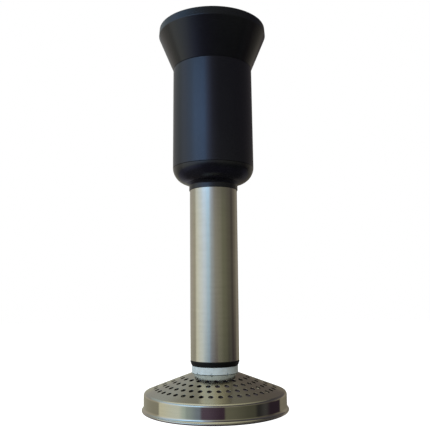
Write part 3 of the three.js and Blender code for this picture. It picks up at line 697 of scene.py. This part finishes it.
# ---- bell ----
bell_r, bell_low, bell_top = span("bell")
SHEET = 1.2
BELL_HOLE_R = 19.2
BEAD_R = 1.2  # of the rolled lip
SKIRT_R = bell_r - 1.6
SHOULDER_Z = 15.3
SHOULDER_ROUND = 2.8
SLOPE = (bell_top - SHOULDER_Z) / (SKIRT_R - BELL_HOLE_R)
LEAN = math.atan(SLOPE)
SHEET_RISE = SHEET / math.cos(LEAN)  # the sheet's thickness, measured upright
PUNCH_R = 2.05
EDGE = 0.1  # broken off both edges of a hole
CELL_HALF = 2.95  # half the width of the band of cells round a row
CELL_SIDE = 6  # edges along each side of a cell
# each row of holes: its radius, its number of holes, and the angle of its first hole
ROWS = [(28.8 + 7.4 * k, 24 + 6 * k, math.radians(0.8 * k - 87.7)) for k in range(4)]
FIRST_R = ROWS[0][0] - CELL_HALF
LAST_R = ROWS[-1][0] + CELL_HALF
THIRDS = (0, 120, 240)  # the angles of the bayonet's lugs and slots
Row = namedtuple("Row", "angles upper lower holes")


def cone_z(r):
    """Height of the outside of the bell's cone."""
    return bell_top - (r - BELL_HOLE_R) * SLOPE


def in_sheet(r, depth):
    """(radius, height) of the point that lies depth below radius r of the cone, square to the sheet."""
    return r - depth * math.sin(LEAN), cone_z(r) - depth * math.cos(LEAN)


def bell_steel():
    """Spun stainless: satin cone with painted shade on its hole walls, and a brighter polished skirt below
    it.
    """
    look = Look("bell_stainless", (0.60, 0.575, 0.50), 0.17, 1.0)
    look.brush(0.3)
    lines = look.round_noise(5200.0, 5200.0, 2.6, 6.0, 0.78)
    broad = look.round_noise(500.0, 500.0, 1.4, 3.0, 0.6)
    cloud = look.noise(look.place, 38.0, 4.0, 0.65)
    spots = look.noise(look.place, 420.0, 4.0, 0.7)
    steel = look.shades(look.blend(broad, cloud, 0.55), 0.92, 1.05)
    # painted shade: the base colour of the hole walls is darkened to near black (0.10, 0.09, 0.10), so that
    # the holes look dark
    look.feed("Base Color", look.mix_colours(hole_wall_shade(look), steel, (0.10, 0.09, 0.10, 1)))
    skirt_top, cone_foot = (SHOULDER_Z - 2.5) * MM, (SHOULDER_Z - 0.3) * MM
    satin = look.ramp(look.height(), 0.0, 1.0, skirt_top, cone_foot)
    texture = look.blend(lines, spots, 0.6)
    on_skirt = look.ramp(texture, 0.05, 0.09)
    on_cone = look.ramp(texture, 0.13, 0.21)
    layers = {"Factor": satin, "A": on_skirt, "B": on_cone}
    roughness = look.node("ShaderNodeMix", layers, data_type="FLOAT")
    look.feed("Roughness", roughness.outputs["Result"])
    look.bump(look.math("MULTIPLY", lines, look.ramp(satin, 0.08, 0.3, 0.0, 1.0)), 0.3, 0.012)
    return look.material


def hole_wall_shade(look):
    """1 inside the thickness of the perforated sheet, and 0 on both its faces and everywhere else: the mask
    for the painted shade on the hole walls.
    """
    skin = 0.15 * MM  # how far the mask stays inside each face
    radius = look.radius()
    outside = look.math("MULTIPLY_ADD", radius, -SLOPE, (bell_top + BELL_HOLE_R * SLOPE) * MM)
    depth = look.math("SUBTRACT", outside, look.height())
    inside = look.math("MULTIPLY", look.math("GREATER_THAN", depth, skin),
                       look.math("LESS_THAN", depth, SHEET_RISE * MM - skin))
    among_rows = look.math("MULTIPLY", look.math("GREATER_THAN", radius, FIRST_R * MM),
                           look.math("LESS_THAN", radius, LAST_R * MM))
    return look.math("MULTIPLY", inside, among_rows)


class Bell(Shape):
    """The cone is laid out in cells, one to a hole, on both faces of the sheet."""

    def cone_point(self, r, a, depth):
        """A vertex at radius r and angle a of the cone, at the given depth in the sheet."""
        radius, z = in_sheet(r, depth)
        self.verts.append((radius * math.cos(a), radius * math.sin(a), z))
        return len(self.verts) - 1

    def level(self, r, angles, depth):
        """A ring of vertices at radius r of the cone."""
        return [self.cone_point(r, a, depth) for a in angles]

    def hole_edge(self, r, a, radius, turns, depth):
        """A circle of the given radius round the point at radius r and angle a of the cone."""
        edge = []
        for t in turns:
            out = r + radius * math.sin(t) * math.cos(LEAN)
            edge.append(self.cone_point(out, a + radius * math.cos(t) / out, depth))
        return edge

    def row(self, r, count, start, depth):
        """The band of cells round one row of holes, on the face of the sheet at the given depth."""
        pitch = FULL_TURN / count
        sides = count * CELL_SIDE
        angles = [start - pitch / 2 + FULL_TURN * k / sides for k in range(sides)]
        levels = [r + CELL_HALF * (2 * k / CELL_SIDE - 1) for k in range(CELL_SIDE + 1)]
        upper = self.level(levels[0], angles, depth)
        lower = self.level(levels[-1], angles, depth)
        borders = []
        for i in range(0, sides, CELL_SIDE):
            between = [self.cone_point(level, angles[i], depth) for level in levels[1:-1]]
            borders.append([upper[i], *between, lower[i]])
        holes = []
        for i in range(count):
            left, right = borders[i], borders[(i + 1) % count]
            across = [(i * CELL_SIDE + k) % sides for k in range(CELL_SIDE + 1)]
            # once round the cell, from its outer corner at the larger angle, and the same round the hole
            cell = [lower[k] for k in reversed(across)][:-1]
            cell += left[:0:-1]
            cell += [upper[k] for k in across][:-1]
            cell += right[:-1]
            turns = [math.pi / 4 + FULL_TURN * k / len(cell) for k in range(len(cell))]
            rim = self.hole_edge(r, start + pitch * i, PUNCH_R + EDGE, turns, depth)
            self.strip(cell, rim)
            holes.append((start + pitch * i, turns, rim))
        return Row(angles, upper, lower, holes)

    def punch(self, r, above, below):
        """The wall of one hole, with both edges broken."""
        a, turns, rim = above
        walls = [self.hole_edge(r, a, PUNCH_R, turns, depth) for depth in (EDGE, SHEET - EDGE)]
        self.strips([rim, *walls, below[2]])

    def perforated(self):
        """The part of the cone that has holes. Gives back the rows of its outer and its inner face."""
        faces = []
        for depth in (0.0, SHEET):
            rows = [self.row(*row, depth) for row in ROWS]
            for a, b in zip(rows, rows[1:]):
                self.zipper(a.lower, a.angles, b.upper, b.angles)
            faces.append(rows)
        outer, inner = faces
        for (r, _, _), above, below in zip(ROWS, outer, inner):
            for over, under in zip(above.holes, below.holes):
                self.punch(r, over, under)
        return outer, inner

    def hub_seat(self, outer, inner):
        """The plain cone above the first row, with the hole for the hub."""
        edge = 0.15
        angles = outer.angles
        levels = [FIRST_R + (BELL_HOLE_R - FIRST_R) * k / 4 for k in range(1, 4)]
        over = [self.level(r, angles, 0.0) for r in [*levels, BELL_HOLE_R + edge]]
        bore = [self.level(BELL_HOLE_R, angles, depth) for depth in (edge, SHEET - edge)]
        under = [self.level(r, angles, SHEET) for r in [BELL_HOLE_R + edge, *reversed(levels)]]
        self.strips([outer.upper, *over, *bore, *under, inner.upper])

    def skirt(self, outer, inner):
        """Shoulder, skirt, flared foot and rolled lip, below the last row."""
        inside = SKIRT_R - SHEET
        inside_low = bell_low + 2.2
        inside_top = SHOULDER_Z + SHEET * SLOPE - SHEET_RISE
        plain_r = LAST_R + 1.2
        flare_r, flare_z = 3.9, 4.6
        section = outline([
            in_sheet(plain_r, 0.0), (SKIRT_R, SHOULDER_Z, SHOULDER_ROUND),
            *arc(SKIRT_R + flare_r, flare_z, flare_r, 180, 220, 6),
            *arc(bell_r - BEAD_R, bell_low + BEAD_R, BEAD_R, 40, -130, 12),
            (inside, inside_low, 0.6), (inside, inside_top, SHOULDER_ROUND - SHEET),
            in_sheet(plain_r, SHEET),
        ], 7)
        self.strips([outer.lower, *[self.ring(p.x, p.y, outer.angles) for p in section], inner.lower])


def square_to_cone(thing):
    """Gives the corners on the outside of the cone the cone's own direction, so that it mirrors cleanly."""
    mesh = thing.data
    directions = [corner.vector.copy() for corner in mesh.corner_normals]
    for k, corner in enumerate(mesh.loops):
        x, y, z = mesh.vertices[corner.vertex_index].co / MM
        r = math.hypot(x, y)
        if abs(cone_z(r) - z) < 0.01 and directions[k].z > 0.5:
            directions[k] = Vector((x / r * math.sin(LEAN), y / r * math.sin(LEAN), math.cos(LEAN)))
    mesh.normals_split_custom_set(directions)


def bell():
    shape = Bell()
    outer, inner = shape.perforated()
    shape.hub_seat(outer[0], inner[0])
    shape.skirt(outer[-1], inner[-1])
    made = finish_piece(shape.object("bell_sheet"), "bell", bell_steel())
    square_to_cone(made)
    return made


def bell_hub():
    """White collar that stands on the cone, with small notches round its foot and bayonet lugs inside."""
    hub_r, hub_low, hub_top = span("bell_hub")
    bore, spigot_r = 17.2, BELL_HOLE_R - GAP
    notches, notch_r, notch_depth, notch_rise, first_notch = 9, 0.72, 0.75, 0.85, -98
    foot = cone_z(hub_r) + GAP
    made = Shape().revolve([
        (bore, hub_low, 0.3), (spigot_r, hub_low, 0.4), (spigot_r, cone_z(spigot_r) + GAP),
        (hub_r, foot, 0.2), (hub_r, hub_top, 0.5), (bore, hub_top, 0.3),
    ]).object("hub_collar")
    tools = []
    for k in range(notches):
        notch = Shape().prism(circle(20, notch_r), -notch_depth, PAST).object(f"notch_{k}")
        moved(notch, hub_r, 0, foot + notch_rise, turned_about("Y", 90))
        tools.append(moved(notch, turn=turned_about("Z", 360 * k / notches + first_notch)))
    cut(made, tools)
    lug_r, lug_root_r, half_lug, lug_low, lug_high = 15.3, bore + 0.5, 12, 28.0, 30.5
    lugs = []
    for a in THIRDS:
        lug = Shape().prism(sector(lug_r, lug_root_r, a - half_lug, a + half_lug), lug_low, lug_high)
        lugs.append(lug.object(f"lug_{a}"))
    return finish_piece(join(made, lugs), "bell_hub")


def hub_ring():
    """Threaded ring under the sheet, with four spanner slots."""
    r, low = 26.4, span("hub_ring")[1]
    edge_top = cone_z(r) - SHEET_RISE - GAP
    bore_top = cone_z(BELL_HOLE_R) - SHEET_RISE - GAP
    made = Shape().revolve([
        (BELL_HOLE_R, low, 0.4), (r, low, 0.6), (r, edge_top, 0.3), (BELL_HOLE_R, bore_top),
    ]).object("hub_lock_ring")
    slot_r, half_slot = r - 2, 4
    slots = []
    for a in (0, 90, 180, 270):
        slot = Shape().prism(sector(slot_r, r + PAST, a - half_slot, a + half_slot), low - PAST, bore_top)
        slots.append(slot.object(f"slot_{a}"))
    return finish_piece(cut(made, slots), "hub_ring")


bell()
bell_hub()
hub_ring()


# ---- foot of the tube, rotor and shaft ----
SHAFT_TIP_R = 4.0
ROTOR_BORE_R = SHAFT_TIP_R + 0.25
BLADE_ANGLES = (90, 210, 330)
PIN_R = 1.6
pin_z = middle("rotor_drive_pin").z


def foot_bearing_block():
    """White block in the tube's foot, with three L-shaped bayonet slots round its spigot."""
    r, low, high = span("foot_bearing_block")
    spigot_r, neck_r = 16.8, 17.6
    seal_r, seal_top = 11.0, 33.6
    shaft_r, bush_r, bush_low = 6.0, 7.2, 44.0
    made = Shape().revolve([
        (seal_r, low, 0.5), (spigot_r, low, 0.8), (spigot_r, gasket_low), (neck_r, gasket_low),
        (neck_r, tube_low), (r, tube_low), (r, high, 0.5), (bush_r, high, 0.4), (bush_r, bush_low),
        (shaft_r, bush_low), (shaft_r, seal_top), (seal_r, seal_top),
    ]).object("foot_plug")
    slot_r, slot_low, slot_high = 14.9, 27.6, 30.9
    half_slot, lock_turn = 13.5, 40
    tools = []
    for a in THIRDS:
        run = sector(slot_r, r, a - half_slot, a + lock_turn + half_slot, 24)
        entry = sector(slot_r, r, a + lock_turn - half_slot, a + lock_turn + half_slot)
        tools.append(Shape().prism(run, slot_low, slot_high).object(f"run_{a}"))
        tools.append(Shape().prism(entry, low - PAST, slot_high).object(f"entry_{a}"))
    return finish_piece(cut(made, tools), "foot_bearing_block")


def rotor_blade(angle, envelope, root_z):
    """A flat blade that leans 38 degrees, trimmed to the space that the rotor sweeps."""
    half_sheet, half_width, length, lean = 1.2, 15.0, 57.4, 38
    blade = Shape().prism(rectangle(half_sheet, half_width), 0, length).object(f"blade_{angle}")
    lying = turned_about("X", lean) @ turned_about("Y", 90) @ turned_about("Z", 90)
    moved(blade, ROTOR_BORE_R + PAST, 0, root_z, lying)
    moved(blade, turn=turned_about("Z", angle))
    combine(blade, [Shape().revolve(envelope).object("envelope")], "INTERSECT")
    return round_edges(blade, 0.3)


def rotor():
    """Three leaning blades on a hub, trimmed to follow the inside of the bell."""
    hub_r, hub_low, hub_top = 10.0, 13.0, 23.7
    tip_r, blade_low, clearance = 57.4, 5.0, 1.3
    collar_r = 28.4  # the blades stay below the hub ring as far out as this
    low_top = hub_top - STEP
    made = Shape().revolve([
        (ROTOR_BORE_R, hub_low, 0.4), (hub_r, hub_low, 1.5), (hub_r, hub_top, 0.4),
        (ROTOR_BORE_R, hub_top, 0.4),
    ], FINE, 5).object("rotor_casting")
    root_r = hub_r - 0.7
    envelope = [
        (root_r, blade_low), (tip_r, blade_low), (tip_r, cone_z(tip_r) - SHEET_RISE - clearance),
        (collar_r, cone_z(collar_r) - SHEET_RISE - clearance), (collar_r - 0.8, low_top), (root_r, low_top),
    ]
    join(made, [rotor_blade(angle, envelope, hub_low + 1) for angle in BLADE_ANGLES])
    slot_half = PIN_R + GAP
    slot = Shape().prism(rectangle(12, slot_half), pin_z - slot_half, hub_top + PAST).object("pin_slot")
    return finish_piece(cut(made, [slot]), "rotor", polished_casting())


def rotor_nut():
    """Hexagonal nut with turned corners."""
    _, low, high = span("rotor_nut")
    hex_r, corner_r, face_r, bevel = 7.5, 7.6, 6.6, 0.6
    made = Shape().prism(circle(6, hex_r), low, high).object("hex_nut")
    crown = Shape().revolve([
        (0, low), (face_r, low), (corner_r, low + bevel), (corner_r, high - bevel), (face_r, high),
        (0, high),
    ], MEDIUM).object("crown")
    combine(made, [crown], "INTERSECT")
    cut(made, [post("bore", SHAFT_TIP_R + GAP, low - PAST, high + PAST, MEDIUM)])
    return finish_piece(made, "rotor_nut")


def rotor_washer():
    """Plain washer between rotor and nut."""
    r, low, high = span("rotor_washer")
    shape = Shape().revolve([
        (ROTOR_BORE_R, low, 0.2), (r, low, 0.3), (r, high, 0.3), (ROTOR_BORE_R, high, 0.2),
    ], MEDIUM)
    return finish_piece(shape.object("washer_ring"), "rotor_washer")


def output_shaft():
    """Stepped shaft with a centre-drilled lower end and a cross hole for the rotor's pin."""
    r, low, high = span("output_shaft")
    step_z, centre_r, centre_depth = 24.0, 1.1, 1.4
    reach = 2 * SHAFT_TIP_R
    made = Shape().revolve([
        (0, low + centre_depth), (centre_r, low), (SHAFT_TIP_R, low, 0.6), (SHAFT_TIP_R, step_z),
        (r, step_z, 0.4), (r, high, 0.5), (0, high),
    ], MEDIUM).object("long_shaft")
    hole = moved(post("cross_hole", PIN_R + GAP, -reach, reach), z=pin_z, turn=turned_about("Y", 90))
    return finish_piece(cut(made, [hole]), "output_shaft")


def drive_pin():
    """Round pin across the shaft, with rounded ends."""
    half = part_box("rotor_drive_pin")[1].x / MM
    upright = Shape().revolve([(0, -half), (PIN_R, -half, 0.5), (PIN_R, half, 0.5), (0, half)], MEDIUM)
    made = moved(upright.object("cross_pin"), z=pin_z, turn=turned_about("Y", 90))
    return finish_piece(made, "rotor_drive_pin")


foot_bearing_block()
lip_seal("foot_ring", "foot_seal", shaft_r=5.0)
rotor()
rotor_nut()
rotor_washer()
output_shaft()
drive_pin()


# ---- camera, lights, room and floor ----
WHITE = (1, 1, 1, 1)
TARGET = Vector((0, 0, 0.15))  # what the lights point at, in metres


def camera():
    """Half a metre in front of the foot, less than a third of the way up it, and tilted slightly upwards."""
    distance, height = 0.5057, 0.1011  # metres
    swing, tilt, roll = -0.141, 7.58, -0.54
    data = bpy.data.cameras.new("camera")
    data.lens = 47.54
    data.sensor_width = 36
    data.clip_start = 0.01
    data.clip_end = 20
    made = add_object("camera", data)
    turn = turned_about("Z", swing) @ turned_about("X", 90 + tilt) @ turned_about("Z", roll)
    made.matrix_world = Matrix.Translation((0, -distance, height)) @ turn
    bpy.context.scene.camera = made


def area_light(name, place, power, colour):
    """A square soft light that shows in no mirror."""
    data = bpy.data.lights.new(name, "AREA")
    data.size = 0.8
    data.energy = power
    data.color = colour
    made = add_object(name, data)
    place = Vector(place)
    turn = (TARGET - place).to_track_quat("-Z", "Y").to_matrix().to_4x4()
    made.matrix_world = Matrix.Translation(place) @ turn
    made.visible_glossy = False


def world():
    """White to the camera, and a soft room to everything else: pale on the left, dim olive on the right."""
    made = bpy.data.worlds.new("world")
    bpy.context.scene.world = made
    made.use_nodes = True
    tree = made.node_tree
    tree.nodes.clear()

    def ramp_round(stops, share):
        """The colours of one height, as a share of the way round from the back."""
        ramp = add_node(tree, "ShaderNodeValToRGB", {"Fac": share})
        ramp.color_ramp.interpolation = "EASE"
        elements = ramp.color_ramp.elements
        elements.remove(elements[-1])
        for azimuth, colour in stops:
            place = (azimuth + 180) / 360
            stop = elements.new(place) if place > 0 else elements[0]
            stop.color = (*colour, 1)
        return ramp.outputs["Color"]

    direction = add_node(tree, "ShaderNodeTexCoord").outputs["Generated"]
    x, y, z = add_node(tree, "ShaderNodeSeparateXYZ", {0: direction}).outputs
    back = add_node(tree, "ShaderNodeMath", {0: y, 1: -1.0}, operation="MULTIPLY").outputs[0]
    azimuth = add_node(tree, "ShaderNodeMath", {0: x, 1: back}, operation="ARCTAN2").outputs[0]
    all_round = {"Value": azimuth, "From Min": -math.pi, "From Max": math.pi}
    share = add_node(tree, "ShaderNodeMapRange", all_round).outputs["Result"]
    room = ramp_round(ROOM[0][1], share)
    for (low, _), (high, stops) in zip(ROOM, ROOM[1:]):
        rise = add_node(tree, "ShaderNodeMapRange", {"Value": z, "From Min": low, "From Max": high})
        layers = {"Factor": rise.outputs["Result"], "A": room, "B": ramp_round(stops, share)}
        room = add_node(tree, "ShaderNodeMix", layers, data_type="RGBA").outputs["Result"]
    seen = add_node(tree, "ShaderNodeLightPath").outputs["Is Camera Ray"]
    lit = add_node(tree, "ShaderNodeBackground", {"Color": room})
    white = add_node(tree, "ShaderNodeBackground", {"Color": WHITE})
    both = add_node(tree, "ShaderNodeMixShader", {0: seen, 1: lit.outputs[0], 2: white.outputs[0]})
    add_node(tree, "ShaderNodeOutputWorld", {"Surface": both.outputs[0]})


# The room's colours at one height, by azimuth in degrees: -180 behind the foot, -90 on its left, 0 in
# front of it, 90 on its right and 180 behind it again.
UNDER = [
    (-180, (0.08, 0.07, 0.07)), (-70, (0.11, 0.10, 0.12)), (-20, (0.05, 0.04, 0.07)),
    (180, (0.04, 0.04, 0.04)),
]
LOW = [
    (-180, (0.34, 0.33, 0.36)), (-112, (0.16, 0.15, 0.20)), (-87, (0.26, 0.26, 0.36)),
    (-66, (0.30, 0.31, 0.44)), (-46, (0.18, 0.18, 0.32)), (-27, (0.05, 0.04, 0.08)),
    (9, (0.03, 0.03, 0.03)), (90, (0.03, 0.03, 0.03)), (112, (0.10, 0.09, 0.12)),
    (138, (0.18, 0.17, 0.18)), (180, (0.14, 0.12, 0.10)),
]
TABLE = [
    (-180, (0.38, 0.37, 0.30)), (-100, (0.32, 0.31, 0.25)), (-97, (0.74, 0.73, 0.58)),
    (-60, (0.72, 0.77, 0.70)), (-49, (0.50, 0.60, 0.56)), (-44, (0.36, 0.44, 0.44)),
    (-25, (0.22, 0.27, 0.34)), (-20, (0.11, 0.08, 0.12)), (13, (0.05, 0.03, 0.05)),
    (16, (0.15, 0.15, 0.11)), (62, (0.08, 0.08, 0.06)), (70, (0.03, 0.03, 0.03)),
    (84, (0.06, 0.06, 0.06)), (96, (0.03, 0.02, 0.03)), (120, (0.03, 0.02, 0.03)),
    (124, (0.24, 0.22, 0.17)), (180, (0.15, 0.13, 0.10)),
]
WALL = [
    (-180, (0.38, 0.38, 0.31)), (-138, (0.46, 0.43, 0.38)), (-104, (0.45, 0.42, 0.33)),
    (-90, (0.80, 0.80, 0.68)), (-67, (0.82, 0.87, 0.86)), (-46, (0.78, 0.88, 1.00)),
    (-27, (0.56, 0.75, 0.90)), (-9, (0.42, 0.46, 0.47)), (9, (0.34, 0.33, 0.28)),
    (27, (0.28, 0.27, 0.21)), (46, (0.19, 0.19, 0.13)), (78, (0.13, 0.12, 0.09)),
    (96, (0.08, 0.07, 0.06)), (112, (0.17, 0.15, 0.12)), (138, (0.30, 0.27, 0.22)),
    (180, (0.15, 0.13, 0.10)),
]
WINDOW = [
    (-180, (0.36, 0.36, 0.33)), (-138, (0.36, 0.36, 0.36)), (-112, (0.44, 0.48, 0.48)),
    (-87, (0.72, 0.82, 0.95)), (-66, (0.80, 1.05, 1.35)), (-50, (1.00, 1.55, 2.30)),
    (-24, (1.00, 1.60, 2.50)), (-14, (0.65, 0.75, 1.10)), (0, (0.22, 0.21, 0.28)),
    (18, (0.10, 0.09, 0.11)), (138, (0.10, 0.09, 0.10)), (180, (0.14, 0.12, 0.10)),
]
HIGH = [
    (-180, (0.36, 0.36, 0.33)), (-112, (0.46, 0.56, 0.60)), (-87, (0.54, 0.72, 0.98)),
    (-66, (0.40, 0.66, 0.90)), (-46, (0.24, 0.36, 0.48)), (-27, (0.13, 0.16, 0.20)),
    (-9, (0.07, 0.08, 0.09)), (9, (0.05, 0.05, 0.06)), (112, (0.05, 0.05, 0.06)),
    (180, (0.15, 0.13, 0.11)),
]
CEILING = [
    (-180, (0.22, 0.22, 0.18)), (-150, (0.34, 0.34, 0.29)), (-100, (0.85, 0.87, 0.74)),
    (-60, (0.80, 0.86, 0.78)), (-27, (0.80, 0.85, 0.76)), (9, (0.70, 0.70, 0.55)),
    (27, (0.60, 0.60, 0.46)), (60, (0.45, 0.44, 0.33)), (100, (0.30, 0.29, 0.22)),
    (150, (0.13, 0.12, 0.10)), (180, (0.22, 0.22, 0.18)),
]
# the sine of the elevation at which each set of colours starts or ends, from straight down to straight up
ROOM = [
    (-0.65, UNDER), (-0.44, LOW), (-0.28, LOW), (-0.22, TABLE), (-0.18, TABLE), (-0.02, WALL), (0.18, WALL),
    (0.23, WINDOW), (0.37, WINDOW), (0.48, HIGH), (0.60, HIGH), (0.72, CEILING),
]


FLOOR_R = 1.6  # in metres, like the next two
FLOOR_FADE = 0.5  # where it starts to fade out
FLOOR_Z = -0.00002  # just clear of the lip


def floor_material():
    """Grey that glows white to the camera beside the foot, and is clear from below and far out."""
    material = bpy.data.materials.new("floor")
    material.use_nodes = True
    tree = material.node_tree
    tree.nodes.clear()

    def math_node(operation, a, b):
        return add_node(tree, "ShaderNodeMath", {0: a, 1: b}, operation=operation).outputs[0]

    place = add_node(tree, "ShaderNodeTexCoord").outputs["Object"]
    distance = add_node(tree, "ShaderNodeVectorMath", {0: place}, operation="LENGTH").outputs["Value"]
    far = {"Value": distance, "From Min": FLOOR_FADE, "From Max": FLOOR_R * 0.95}
    fade = add_node(tree, "ShaderNodeMapRange", far).outputs["Result"]
    gone = math_node("MAXIMUM", fade, add_node(tree, "ShaderNodeNewGeometry").outputs["Backfacing"])
    beside = math_node("GREATER_THAN", distance, (bell_r - 2) * MM)
    seen = add_node(tree, "ShaderNodeLightPath").outputs["Is Camera Ray"]
    grey = add_node(tree, "ShaderNodeBsdfDiffuse", {"Color": (0.5, 0.5, 0.5, 1)})
    strength = math_node("MULTIPLY", beside, seen)
    glow = add_node(tree, "ShaderNodeEmission", {"Color": WHITE, "Strength": strength})
    lit = add_node(tree, "ShaderNodeAddShader", {0: grey.outputs[0], 1: glow.outputs[0]})
    clear = add_node(tree, "ShaderNodeBsdfTransparent")
    whole = add_node(tree, "ShaderNodeMixShader", {0: gone, 1: lit.outputs[0], 2: clear.outputs[0]})
    add_node(tree, "ShaderNodeOutputMaterial", {"Surface": whole.outputs[0]})
    return material


def floor():
    """A pale disc that fades out before its edge."""
    shape = Shape()
    rim = [(r / MM, FLOOR_Z / MM) for r in (0.0, 0.1, 0.4, 0.9, FLOOR_R)]
    angles = [FULL_TURN * k / FINE for k in range(FINE)]
    shape.strips([shape.ring(r, z, angles) for r, z in rim])
    made = shape.object("floor")
    if made.data.polygons[0].normal.z < 0:
        made.data.flip_normals()
    made.data.materials.append(floor_material())
    made.visible_glossy = False


camera()
world()
floor()
area_light("key", (-0.7, -0.9, 0.7), power=11, colour=(0.95, 0.98, 1.0))
area_light("fill", (0.9, -0.7, 0.4), power=2, colour=(1.0, 0.95, 0.85))
bpy.context.scene.view_settings.view_transform = "Standard"
